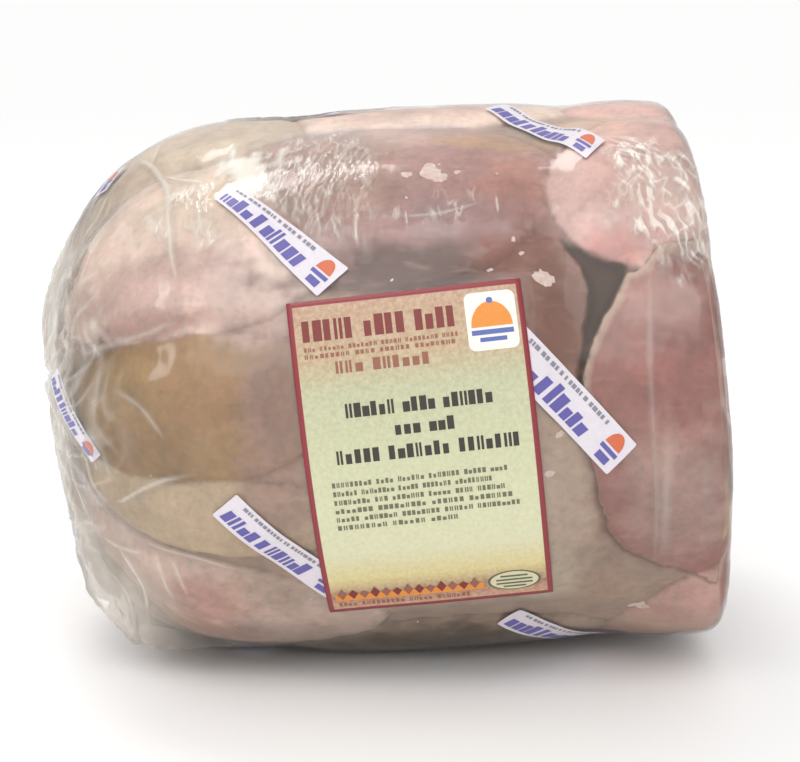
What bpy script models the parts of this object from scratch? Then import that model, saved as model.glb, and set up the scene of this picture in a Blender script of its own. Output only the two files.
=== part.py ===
"""Half a loaf of tongue head cheese, sealed in clear film, with a paper label on its side.

Frame: metres, +Z up, origin on the floor under the middle of the loaf. The loaf lies along X, with
its gathered end at -X and its cut end at +X. The label faces -Y.
"""

import math
import random
from collections import namedtuple

import bmesh
import bpy
from mathutils import Vector, noise

# Driving dimensions of the loaf, in metres
BELLY_RADIUS = 0.075
LOAF_LENGTH = 0.1764
CUT_X = 0.0869
AXIS_HEIGHT = 0.0718
AXIS_SLOPE = 0.060
DOME_LENGTH = 0.0665
DOME_RISE = 0.0080
DOME_POWER = 2.35
TAPER_LENGTH = 0.065
TAPER_DEPTH = 0.0028
TAPER_POWER = 2.5
RIM_RADIUS = 0.0055
CUT_LEAN = math.radians(5.4)
SHEAR_LENGTH = 0.045

# Paper label, in metres
LABEL_WIDTH = 0.057
LABEL_HEIGHT = 0.086
LABEL_THICKNESS = 0.0003
LABEL_GAP = 0.0004
LABEL_X = 0.0117
LABEL_ANGLE = math.radians(-3.9)
LABEL_TURN = math.radians(6.5)
LABEL_FLAT_MARGIN = 0.012
LABEL_BED = 0.0031

# The tongues pressed side by side, under the film
BED_DEPTH = 0.0030
CREASE_SOFTNESS = 0.00035
UNEVENNESS = 0.0005
UNEVEN_SCALE = 28.0
FLOOR_FADE = 0.020
RELIEF_END_FADE = 0.012

# The film gathered over the middle of the round end, which is fullest a little above it
PLEATS = 16
PLEAT_DEPTH = 0.0011
PLEAT_REACH = 0.030
DIMPLE_DEPTH = 0.0015
DIMPLE_RADIUS = 0.007
HEAD_Z = 0.093
HEAD_HEIGHT = 0.0034
HEAD_RADIUS = 0.019

# Loose film that stands out low on the round end
EAR_X = -0.069
EAR_ANGLE = math.radians(-60.0)
EAR_HEIGHT = 0.0062
EAR_LENGTH = 0.016
EAR_WIDTH = 0.027

# How finely the solids are cut
SEGMENTS = 96
DOME_RINGS = 18
BARREL_RINGS = 20
RIM_RINGS = 4
FACE_RINGS = 4
LABEL_COLUMNS = 14
LABEL_ROWS = 22

POLE_X = CUT_X - LOAF_LENGTH
DOME_START = POLE_X + DOME_LENGTH
TAPER_START = CUT_X - TAPER_LENGTH

# A tongue's side as it swells under the film: where its middle lies along the loaf, its angle above
# the front, half its length and half its width in metres, its turn in degrees and how far it swells.
Lobe = namedtuple("Lobe", "x angle length width turn lift")

FRONT_LOBES = (
    Lobe(0.085, -3, 0.036, 0.048, 0, 0.0042),
    Lobe(0.071, 56, 0.030, 0.030, 14, 0.0052),
    Lobe(0.002, 56, 0.044, 0.034, -4, 0.0036),
    Lobe(-0.054, 44, 0.050, 0.031, 6, 0.0038),
    Lobe(-0.050, 6, 0.045, 0.020, 10, 0.0034),
    Lobe(-0.042, -16, 0.040, 0.012, 4, 0.0027),
    Lobe(-0.042, -43, 0.046, 0.021, -6, 0.0036),
    Lobe(0.020, -66, 0.044, 0.022, 3, 0.0028),
    Lobe(0.090, -52, 0.046, 0.020, 55, 0.0050),
    Lobe(-0.060, 92, 0.044, 0.034, -4, 0.0050),
    Lobe(0.012, 99, 0.046, 0.028, 3, 0.0044),
    Lobe(0.080, 104, 0.036, 0.036, -5, 0.0042),
)

# The side that faces away has the same kind of tongues, two to a row.
BACK_ROWS = 4
BACK_FIRST_ANGLE = 137
BACK_ROW_STEP = 37
BACK_SEED = 11


def back_lobes():
    draw = random.Random(BACK_SEED)
    lobes = []
    for row in range(BACK_ROWS):
        middle = BACK_FIRST_ANGLE + row * BACK_ROW_STEP
        split = draw.uniform(-0.025, 0.015)
        for side in (-1, 1):
            lobes.append(
                Lobe(
                    x=split + side * draw.uniform(0.040, 0.048),
                    angle=middle + draw.uniform(-5, 5),
                    length=draw.uniform(0.042, 0.052),
                    width=draw.uniform(0.024, 0.030),
                    turn=draw.uniform(-12, 12),
                    lift=draw.uniform(0.0030, 0.0042),
                )
            )
    return lobes


LOBES = [*FRONT_LOBES, *back_lobes()]


def bump(distance, radius):
    """1 at the middle of a round bump, falling to 0 well outside its radius."""
    return math.exp(-((distance / radius) ** 2))


def smoothstep(low, high, value):
    share = min(1.0, max(0.0, (value - low) / (high - low)))
    return share * share * (3.0 - 2.0 * share)


def wrapped(angle):
    """The same angle between -180 and 180 degrees, in radians."""
    return (angle + math.pi) % (2.0 * math.pi) - math.pi


def in_patch(x, angle, middle_x, middle_angle, turn):
    """Distances along and across a patch laid on the loaf, measured on its unrolled side."""
    along = x - middle_x
    around = wrapped(angle - middle_angle) * BELLY_RADIUS
    cosine, sine = math.cos(turn), math.sin(turn)
    return along * cosine + around * sine, around * cosine - along * sine


def label_share(x, angle):
    """1 under the label, falling to 0 at the flat margin round it."""
    level = angle + AXIS_SLOPE * (x - LABEL_X) / BELLY_RADIUS
    across, up = in_patch(x, level, LABEL_X, LABEL_ANGLE, LABEL_TURN)
    beyond = max(abs(across) - LABEL_WIDTH / 2, abs(up) - LABEL_HEIGHT / 2)
    return 1.0 - smoothstep(0.0, LABEL_FLAT_MARGIN, beyond)


def swelling(x, angle):
    """How far the tongues push the film out at a place on the side, before the label presses it flat."""
    total = 1.0
    for lobe in LOBES:
        along, across = in_patch(x, angle, lobe.x, math.radians(lobe.angle), math.radians(lobe.turn))
        inside = 1.0 - (along / lobe.length) ** 2 - (across / lobe.width) ** 2
        if inside > 0.0:
            total += math.exp(lobe.lift * math.sqrt(inside) / CREASE_SOFTNESS) - 1.0
    return CREASE_SOFTNESS * math.log(total)


def relief(x, angle):
    """Height of the film over the pressed bed of the loaf."""
    height = swelling(x, angle)
    spot = Vector((x, math.cos(angle) * BELLY_RADIUS, math.sin(angle) * BELLY_RADIUS))
    height += UNEVENNESS * noise.noise(spot * UNEVEN_SCALE)
    flat = label_share(x, angle)
    return height * (1.0 - flat) + LABEL_BED * flat


def body_radius(x):
    """Radius of the loaf at a station, without its tongues."""
    radius = BELLY_RADIUS
    if x > TAPER_START:
        radius -= TAPER_DEPTH * ((x - TAPER_START) / TAPER_LENGTH) ** TAPER_POWER
    if x < DOME_START:
        share = min(1.0, (DOME_START - x) / DOME_LENGTH)
        radius *= (1.0 - share**DOME_POWER) ** (1.0 / DOME_POWER)
    return radius


def axis_height(x):
    share = max(0.0, (DOME_START - x) / DOME_LENGTH)
    return AXIS_HEIGHT + AXIS_SLOPE * x + DOME_RISE * share**2


def meridian():
    """Stations and radii from the gathered end to the middle of the cut face."""
    points = []
    for step in range(DOME_RINGS):
        turn = 0.5 * math.pi * (step / DOME_RINGS) ** 1.5
        share = math.cos(turn) ** (2.0 / DOME_POWER)
        x = DOME_START - DOME_LENGTH * share
        points.append((x, body_radius(x) if step else 0.0))
    rim_x = CUT_X - RIM_RADIUS
    for step in range(BARREL_RINGS + 1):
        x = DOME_START + (rim_x - DOME_START) * step / BARREL_RINGS
        points.append((x, body_radius(x)))
    rim_radius = body_radius(rim_x) - RIM_RADIUS
    for step in range(1, RIM_RINGS + 1):
        turn = 0.5 * math.pi * step / RIM_RINGS
        points.append((rim_x + RIM_RADIUS * math.sin(turn), rim_radius + RIM_RADIUS * math.cos(turn)))
    for step in range(1, FACE_RINGS + 1):
        points.append((CUT_X, rim_radius * (1.0 - step / FACE_RINGS)))
    return points


def side_normal(x):
    """How much of the outward direction lies along X and how much points away from the axis."""
    step = 0.0004
    low = max(x - step, POLE_X)
    high = min(x + step, CUT_X)
    slope = (body_radius(high) - body_radius(low)) / (high - low)
    length = math.hypot(1.0, slope)
    return -slope / length, 1.0 / length


def gathered(point):
    """A point of the round end moved by the pleats, by the dimple they run to and by the fullness above it."""
    up = point.z - axis_height(POLE_X)
    away = math.hypot(point.y, up)
    around = math.atan2(up, point.y)
    on_end = 1.0 - smoothstep(POLE_X + 0.25 * DOME_LENGTH, DOME_START, point.x)
    fold = math.cos(PLEATS * around + 1.3 * math.sin(3.0 * around))
    fold *= PLEAT_DEPTH * smoothstep(0.0, DIMPLE_RADIUS, away) * bump(away, PLEAT_REACH)
    fold -= DIMPLE_DEPTH * bump(away, DIMPLE_RADIUS)
    fold += HEAD_HEIGHT * bump(math.hypot(point.y, point.z - HEAD_Z), HEAD_RADIUS)
    return point - Vector((on_end * fold, 0.0, 0.0))


def ear(x, angle):
    """Height of the loose film low on the round end."""
    along, across = in_patch(x, angle, EAR_X, EAR_ANGLE, 0.0)
    return EAR_HEIGHT * bump(math.hypot(along / EAR_LENGTH, across / EAR_WIDTH), 1.0)


def on_loaf(x, radius, angle, lift=0.0):
    """The point of the finished loaf for a place on its turned form, lifted off it by a given height."""
    normal_x, normal_out = side_normal(x)
    height = relief(x, angle) + ear(x, angle) - BED_DEPTH
    height *= smoothstep(POLE_X, POLE_X + RELIEF_END_FADE, x)
    if x > CUT_X - RIM_RADIUS:
        rim = body_radius(CUT_X - RIM_RADIUS)
        normal_x, normal_out = 0.0, smoothstep(0.5 * rim, rim - RIM_RADIUS, radius)
    height += lift
    reach = radius + height * normal_out
    up = axis_height(x) + reach * math.sin(angle)
    point = Vector((x + height * normal_x, -reach * math.cos(angle), up))
    shear = smoothstep(CUT_X - SHEAR_LENGTH, CUT_X, x)
    point.x -= shear * (point.z - axis_height(CUT_X)) * math.tan(CUT_LEAN)
    if x < DOME_START:
        point = gathered(point)
    point.z = max(point.z, 0.0)
    return point


def material(name, colour, roughness):
    made = bpy.data.materials.new(name)
    made.use_nodes = True
    shader = made.node_tree.nodes["Principled BSDF"]
    shader.inputs["Base Color"].default_value = (*colour, 1.0)
    shader.inputs["Roughness"].default_value = roughness
    shader.inputs["Metallic"].default_value = 0.0
    return made


def add_object(name, mesh, collection, look):
    made = bpy.data.objects.new(name, mesh)
    mesh.materials.append(look)
    collection.objects.link(made)
    return made


def make_loaf(collection):
    """The turned form spun round X, then each vertex pushed out by the tongues and pressed on the floor."""
    places = bmesh.new()
    profile = [places.verts.new((x, radius, 0.0)) for x, radius in meridian()]
    edges = [places.edges.new(pair) for pair in zip(profile, profile[1:])]
    bmesh.ops.spin(
        places,
        geom=[*profile, *edges],
        axis=(1.0, 0.0, 0.0),
        cent=(0.0, 0.0, 0.0),
        angle=2.0 * math.pi,
        steps=SEGMENTS,
        use_merge=True,
    )
    bmesh.ops.remove_doubles(places, verts=places.verts[:], dist=1e-6)
    for vertex in places.verts:
        radius = math.hypot(vertex.co.y, vertex.co.z)
        angle = math.atan2(vertex.co.z, -vertex.co.y)
        vertex.co = on_loaf(vertex.co.x, radius, angle)
    bmesh.ops.recalc_face_normals(places, faces=places.faces[:])
    mesh = bpy.data.meshes.new("loaf")
    places.to_mesh(mesh)
    places.free()
    mesh.shade_smooth()
    look = material("film_over_meat", (0.50, 0.33, 0.28), 0.25)
    return add_object("loaf", mesh, collection, look)


def make_label(collection):
    """A flat grid bent round the loaf, given the paper's thickness outwards."""
    places = bmesh.new()
    bmesh.ops.create_grid(places, x_segments=LABEL_COLUMNS, y_segments=LABEL_ROWS, size=0.5)
    cosine, sine = math.cos(LABEL_TURN), math.sin(LABEL_TURN)
    for vertex in places.verts:
        across = vertex.co.x * LABEL_WIDTH
        up = vertex.co.y * LABEL_HEIGHT
        x = LABEL_X + across * cosine - up * sine
        around = across * sine + up * cosine - AXIS_SLOPE * (x - LABEL_X)
        angle = LABEL_ANGLE + around / BELLY_RADIUS
        vertex.co = on_loaf(x, body_radius(x), angle, LABEL_GAP)
    mesh = bpy.data.meshes.new("label")
    places.to_mesh(mesh)
    places.free()
    look = material("paper", (0.66, 0.62, 0.40), 0.5)
    label = add_object("label", mesh, collection, look)
    solid = label.modifiers.new("paper thickness", "SOLIDIFY")
    solid.thickness = LABEL_THICKNESS
    solid.offset = 1.0
    return label


def main():
    for old in list(bpy.data.objects):
        bpy.data.objects.remove(old)
    collection = bpy.data.collections.new("tongue head cheese")
    bpy.context.scene.collection.children.link(collection)
    make_loaf(collection)
    make_label(collection)


main()
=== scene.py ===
"""The looks of a half loaf of tongue head cheese: pressed tongues under clear printed film, and a label.

Everything is in metres in the loaf's own frame: X along the loaf, -Y towards the camera, +Z up. Places on
the side are given by x in metres and by the angle round the axis in degrees, 0 in front and 90 on top.
"""

import math
import random
from collections import namedtuple

import bmesh
import bpy
import numpy as np
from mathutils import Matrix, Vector, noise
from mathutils.bvhtree import BVHTree


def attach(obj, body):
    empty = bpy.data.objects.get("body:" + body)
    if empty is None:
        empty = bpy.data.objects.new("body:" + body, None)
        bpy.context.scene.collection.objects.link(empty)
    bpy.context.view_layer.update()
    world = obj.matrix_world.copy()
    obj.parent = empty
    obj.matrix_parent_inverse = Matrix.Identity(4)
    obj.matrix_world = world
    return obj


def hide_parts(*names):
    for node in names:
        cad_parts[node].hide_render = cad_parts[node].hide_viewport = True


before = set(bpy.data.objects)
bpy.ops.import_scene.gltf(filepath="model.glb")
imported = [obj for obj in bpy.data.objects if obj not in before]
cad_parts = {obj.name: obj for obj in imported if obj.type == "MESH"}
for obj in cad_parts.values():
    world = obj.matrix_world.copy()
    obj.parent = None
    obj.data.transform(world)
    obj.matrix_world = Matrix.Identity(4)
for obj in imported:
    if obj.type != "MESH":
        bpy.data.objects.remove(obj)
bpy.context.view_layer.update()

# The loaf's axis and stations, as its solid has them
RADIUS = 0.075
CUT_X = 0.0869
POLE_X = -0.0895
DOME_START = -0.023
AXIS_HEIGHT = 0.0718
AXIS_SLOPE = 0.06
POLE_RISE = 0.008
CUT_LEAN = math.tan(math.radians(5.4))
END_START = 0.045
# The smoothing of the solid's copy: which points are one, and which triangles join
SAME_POINT = 1e-6
JOINED_FACES = math.radians(40)
JOINED_SHAPES = math.radians(170)

# The label, as its solid has it
LABEL_X = 0.0117
LABEL_ANGLE = -3.9
LABEL_TURN = 6.5
LABEL_WIDTH = 0.057
LABEL_HEIGHT = 0.086

# The photograph's camera
CAMERA_TARGET = Vector((0.0061, 0.0, 0.0724))
CAMERA_DISTANCE = 0.525
CAMERA_ELEVATION = math.radians(12.0)
CAMERA_LENS = 84.15

# How far film, meat and paper lie from the solid's surface, and the film's print from the film
FILM_LIFT = 0.00015
MEAT_DEPTH = 0.0006
PRINT_LIFT = 0.00007
PAPER_LOW = 0.0003
PAPER_HIGH = 0.00055

# The skin's grid: its columns and rows, the shares of the way from where the cut end starts to its rim, and
# the shares of the radius over the cut face
FRONT_COLUMNS = 290
BACK_COLUMNS = 106
DOME_ROWS = 78
SIDE_ROWS = 78
RIM_ROWS = 12
END_SHARES = [*np.linspace(0.0, 0.86, 36), *np.linspace(0.872, 1.0, RIM_ROWS)]
FACE_SHARES = [*np.linspace(0.988, 0.9, 8), *np.linspace(0.875, 0.02, 28)]
# The angles in front and at the back, and the dome's, from its tip
FRONT_SPAN = (-90.0, 110.0)
BACK_SPAN = (110.0, 270.0)
DOME_TURNS = (1.2, 90.0)

# The least heights above the floor
FILM_LEAST = 0.0001
MEAT_LEAST = 0.0006


def axis_height(x):
    share = np.maximum(0.0, (DOME_START - np.asarray(x, dtype=float)) / (DOME_START - POLE_X))
    return AXIS_HEIGHT + AXIS_SLOPE * np.asarray(x, dtype=float) + POLE_RISE * share**2


def smoothstep(low, high, value):
    share = np.clip((np.asarray(value, dtype=float) - low) / (high - low), 0.0, 1.0)
    return share * share * (3.0 - 2.0 * share)


def turned(angle):
    """Angles brought between -180 and 180 degrees."""
    return (np.asarray(angle, dtype=float) + 180.0) % 360.0 - 180.0


def arc(angle):
    """Length along the loaf's girth of an angle in degrees."""
    return np.radians(angle) * RADIUS


def srgb(red, green, blue):
    """A screen colour from 0 to 255 turned to linear light."""
    values = np.array([red, green, blue], dtype=float) / 255.0
    return np.where(values <= 0.04045, values / 12.92, ((values + 0.055) / 1.055) ** 2.4)


def field(points, scale, seed=0.0, octaves=3):
    """Smooth noise between about -1 and 1 at each point; each use has a seed of its own."""
    shift = Vector((seed * 13.7, seed * 5.1, seed * 9.3))
    scale = Vector(scale) if isinstance(scale, tuple) else Vector((scale, scale, scale))
    return np.array([noise.fractal(Vector(p) * scale + shift, 0.6, 2.0, octaves) for p in points])


# The skin: a grid of rays from the loaf's axis onto a smoothed copy of its solid


def smoothed_solid(node):
    """A finer, rounder copy of the solid's faces, for rays to hit."""
    mesh = bmesh.new()
    mesh.from_mesh(node.data)
    bmesh.ops.remove_doubles(mesh, verts=mesh.verts[:], dist=SAME_POINT)
    bmesh.ops.join_triangles(
        mesh,
        faces=mesh.faces[:],
        angle_face_threshold=JOINED_FACES,
        angle_shape_threshold=JOINED_SHAPES,
    )
    data = bpy.data.meshes.new("smoothed")
    mesh.to_mesh(data)
    mesh.free()
    copy = link("smoothed", data)
    finer = copy.modifiers.new("finer", "SUBSURF")
    finer.levels = finer.render_levels = 2
    bpy.context.view_layer.update()
    tree = BVHTree.FromObject(copy, bpy.context.evaluated_depsgraph_get())
    bpy.data.objects.remove(copy)
    bpy.data.meshes.remove(data)
    return tree


def columns():
    front = np.linspace(*FRONT_SPAN, FRONT_COLUMNS, endpoint=False)
    back = np.linspace(*BACK_SPAN, BACK_COLUMNS, endpoint=False)
    return np.concatenate([front, back])


def row_rays(angles):
    """For each row an origin on the axis and the directions in which its rays leave, one for each column."""
    sine = np.sin(np.radians(angles))
    out = np.stack([0 * sine, -np.cos(np.radians(angles)), sine], axis=1)
    ahead = np.array([1.0, 0.0, 0.0])
    rays = []
    for turn in np.radians(np.linspace(*DOME_TURNS, DOME_ROWS, endpoint=False)):
        along = np.array([-math.cos(turn), 0.0, AXIS_SLOPE * math.cos(turn)])
        rays.append((DOME_START, along + math.sin(turn) * out))
    for x in np.linspace(DOME_START, END_START, SIDE_ROWS, endpoint=False):
        rays.append((x, out))
    length = CUT_X - END_START - RADIUS * sine * CUT_LEAN
    for share in END_SHARES:
        rays.append((END_START, RADIUS * out + (share * length)[:, None] * ahead))
    for share in FACE_SHARES:
        length = CUT_X - END_START - share * RADIUS * sine * CUT_LEAN
        rays.append((END_START, share * RADIUS * out + length[:, None] * ahead))
    return rays


class Skin:
    """A grid of points on the loaf, in rows along it and columns round it, with its two middles closed."""

    def __init__(self, points, angles, poles):
        self.points = points
        self.angles = angles
        self.poles = poles
        self.rows, self.count = points.shape[:2]
        around = np.roll(points, -1, axis=1) - np.roll(points, 1, axis=1)
        normal = np.cross(np.gradient(points, axis=0), around)
        self.normals = normal / np.linalg.norm(normal, axis=2, keepdims=True)
        step = np.linalg.norm(np.diff(points, axis=0), axis=2).mean(axis=1)
        run = np.concatenate([[0.0], np.cumsum(step)])
        start = int(np.argmin(np.abs(points[:, 0, 0] - DOME_START)))
        self.run = run - run[start] + DOME_START
        self.places = points.reshape(-1, 3)
        self.x = points[:, :, 0].ravel()
        self.angle = np.broadcast_to(angles, (self.rows, self.count)).ravel()
        self.s = np.broadcast_to(self.run[:, None], (self.rows, self.count)).ravel()
        self.strips = None

    def moved(self, lift, least):
        """The same grid pushed out along its normals, kept at least so high above the floor."""
        lift = lift.reshape(self.rows, self.count, 1)
        ends = [
            self.poles[0] - (float(lift[0].mean()), 0.0, 0.0),
            self.poles[1] + (float(lift[-1].mean()), 0.0, 0.0),
        ]
        made = Skin(self.points + self.normals * lift, self.angles, ends)
        made.points[:, :, 2] = np.maximum(made.points[:, :, 2], least)
        return made

    def mesh(self, name):
        """A mesh of the grid's quads, with a fan at each end."""
        rows, count = self.rows, self.count
        vertices = [*self.points.reshape(-1, 3).tolist(), *[list(p) for p in self.poles]]
        here = np.arange(rows * count).reshape(rows, count)
        right = np.roll(here, -1, axis=1)
        faces = np.stack([here[:-1], here[1:], right[1:], right[:-1]], axis=-1).reshape(-1, 4).tolist()
        low, high = rows * count, rows * count + 1
        faces += [[low, a, b] for a, b in zip(here[0].tolist(), right[0].tolist())]
        faces += [[high, b, a] for a, b in zip(here[-1].tolist(), right[-1].tolist())]
        data = bpy.data.meshes.new(name)
        data.from_pydata(vertices, [], faces)
        data.update()
        data.shade_smooth()
        return data

    def column(self, angle):
        """The fractional column of each angle."""
        spread = np.concatenate([self.angles, [self.angles[0] + 360.0]])
        within = (np.asarray(angle) - spread[0]) % 360.0 + spread[0]
        return np.interp(within, spread, np.arange(self.count + 1))

    def sample(self, row, angle, lift=0.0):
        """Points and normals at fractional rows and angles."""
        row = np.clip(row, 0.0, self.rows - 1.001)
        column = self.column(angle)
        r0, c0 = np.floor(row).astype(int), np.floor(column).astype(int) % self.count
        fr, fc = (row - np.floor(row))[:, None], (column - np.floor(column))[:, None]
        r1, c1 = r0 + 1, (c0 + 1) % self.count
        found = []
        for grid in (self.points, self.normals):
            low = grid[r0, c0] * (1 - fc) + grid[r0, c1] * fc
            high = grid[r1, c0] * (1 - fc) + grid[r1, c1] * fc
            found.append(low * (1 - fr) + high * fr)
        normal = found[1] / np.linalg.norm(found[1], axis=1, keepdims=True)
        return found[0] + normal * lift, normal

    def at(self, x, angle, lift=0.0):
        """Points and normals at places on the side."""
        x, angle = np.atleast_1d(x).astype(float), np.atleast_1d(angle).astype(float)
        rows = []
        for one_x, column in zip(x, self.column(angle)):
            line = self.points[:, int(column) % self.count, 0]
            end = int(np.argmax(line))
            rows.append(np.interp(one_x, line[: end + 1], np.arange(end + 1)))
        return self.sample(np.array(rows), angle, lift)

    def at_run(self, run, angle, lift=0.0):
        """Points and normals at places given by the length run along the film instead of by x."""
        run, angle = np.atleast_1d(run).astype(float), np.atleast_1d(angle).astype(float)
        return self.sample(np.interp(run, self.run, np.arange(self.rows)), angle, lift)


def lay_skin(node):
    tree = smoothed_solid(node)

    def hit(origin_x, direction):
        origin = Vector((origin_x, 0.0, float(axis_height(origin_x))))
        return tuple(tree.ray_cast(origin, Vector(direction).normalized())[0])

    angles = columns()
    grid = [[hit(x, direction) for direction in directions] for x, directions in row_rays(angles)]
    poles = [np.array(hit(DOME_START, (-1, 0, AXIS_SLOPE))), np.array(hit(END_START, (1, 0, 0)))]
    return Skin(np.array(grid), angles, poles)


# The tongues, as the solid has them, with their colours
Lobe = namedtuple("Lobe", "x angle length width turn lift colour grain")

PINK = srgb(152, 103, 94)
PALE = srgb(213, 178, 169)
MAUVE = srgb(170, 134, 128)
ROSE = srgb(227, 206, 192)
OLIVE = srgb(154, 122, 82)
BEIGE = srgb(192, 170, 142)
BLUSH = srgb(204, 180, 167)
JELLY = srgb(166, 142, 124)
CREAM = srgb(200, 184, 166)
RED = srgb(150, 92, 86)
ROSY = srgb(196, 157, 146)

FRONT_LOBES = (
    Lobe(0.085, -3, 0.036, 0.048, 0, 0.0042, PINK, 0.25),
    Lobe(0.071, 56, 0.03, 0.03, 14, 0.0052, PALE, 0.1),
    Lobe(0.002, 56, 0.044, 0.034, -4, 0.0036, MAUVE, 0.5),
    Lobe(-0.054, 44, 0.05, 0.031, 6, 0.0038, ROSE, 0.4),
    Lobe(-0.05, 6, 0.045, 0.02, 10, 0.0034, OLIVE, 0.2),
    Lobe(-0.042, -16, 0.04, 0.012, 4, 0.0027, srgb(190, 169, 141), 0.5),
    Lobe(-0.042, -43, 0.046, 0.021, -6, 0.0036, BLUSH, 0.7),
    Lobe(0.02, -66, 0.044, 0.022, 3, 0.0028, JELLY, 0.4),
    Lobe(0.09, -52, 0.046, 0.02, 55, 0.005, ROSY, 0.3),
    Lobe(-0.06, 92, 0.044, 0.034, -4, 0.005, CREAM, 0.4),
    Lobe(0.012, 99, 0.046, 0.028, 3, 0.0044, ROSE, 0.5),
    Lobe(0.08, 104, 0.036, 0.036, -5, 0.0042, PALE, 0.3),
)
BACK_COLOURS = ((ROSE, 0.4), (PINK, 0.3), (BEIGE, 0.5), (MAUVE, 0.6), (OLIVE, 0.2), (BLUSH, 0.6), (PALE, 0.2))
BACK_ROWS = 4
BACK_FIRST_ANGLE = 137
BACK_ROW_STEP = 37
BACK_SEED = 11


def all_lobes():
    """The front's tongues and the same draw of tongues for the far side as the solid has."""
    draw = random.Random(BACK_SEED)
    lobes = list(FRONT_LOBES)
    for row in range(BACK_ROWS):
        middle = BACK_FIRST_ANGLE + row * BACK_ROW_STEP
        split = draw.uniform(-0.025, 0.015)
        for side in (-1, 1):
            x = split + side * draw.uniform(0.04, 0.048)
            angle = middle + draw.uniform(-5, 5)
            length = draw.uniform(0.042, 0.052)
            width = draw.uniform(0.024, 0.03)
            turn = draw.uniform(-12, 12)
            lift = draw.uniform(0.003, 0.0042)
            looks = BACK_COLOURS[(2 * row + (side > 0) * 3) % len(BACK_COLOURS)]
            lobes.append(Lobe(x, angle, length, width, turn, lift, *looks))
    return lobes


def rotated(a, b, turn):
    """Two coordinates, seen from axes that are turned by an angle in degrees."""
    cosine, sine = math.cos(math.radians(turn)), math.sin(math.radians(turn))
    return a * cosine + b * sine, b * cosine - a * sine


def patch_distance(x, angle, middle_x, middle_angle, length, width, turn):
    """How far out of an ellipse on the side each place is: 0 in its middle, 1 at its edge."""
    along, around = rotated(x - middle_x, arc(turned(angle - middle_angle)), turn)
    return np.hypot(along / length, around / width)


def shares_and_creases(heights, softness, crease_width):
    """Each form's share of every place, from how high the forms stand there, and 1 where two of them meet."""
    heights = np.array(heights)
    weights = np.exp((heights - heights.max(axis=0)) / softness)
    ordered = np.sort(heights, axis=0)
    return weights / weights.sum(axis=0), np.exp(-(ordered[-1] - ordered[-2]) / crease_width)


def outline_distance(x, angle, outline):
    """Distance from each place to an outline on the unrolled side, below 0 inside it."""
    corners = np.array([(corner_x / 1000.0, float(arc(corner_angle))) for corner_x, corner_angle in outline])
    places = np.stack([x, arc(turned(angle))], axis=1)
    least = np.full(len(places), np.inf)
    inside = np.zeros(len(places), dtype=bool)
    for start, end in zip(corners, np.roll(corners, -1, axis=0)):
        side = end - start
        away = places - start
        share = np.clip(away @ side / (side @ side), 0.0, 1.0)
        least = np.minimum(least, np.linalg.norm(away - share[:, None] * side, axis=1))
        crosses = (start[1] > places[:, 1]) != (end[1] > places[:, 1])
        rise = side[1] if side[1] != 0.0 else 1e-12
        inside ^= crosses & (places[:, 0] < start[0] + (places[:, 1] - start[1]) / rise * side[0])
    return np.where(inside, -least, least)


# Stains and soft patches on the meat, two of them painted shade: x, angle, half length, half width, turn,
# colour, strength, and whether they stay off the two right tongues
StainAndShade = namedtuple("StainAndShade", "x angle length width turn colour strength open_only", defaults=(False,))

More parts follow.
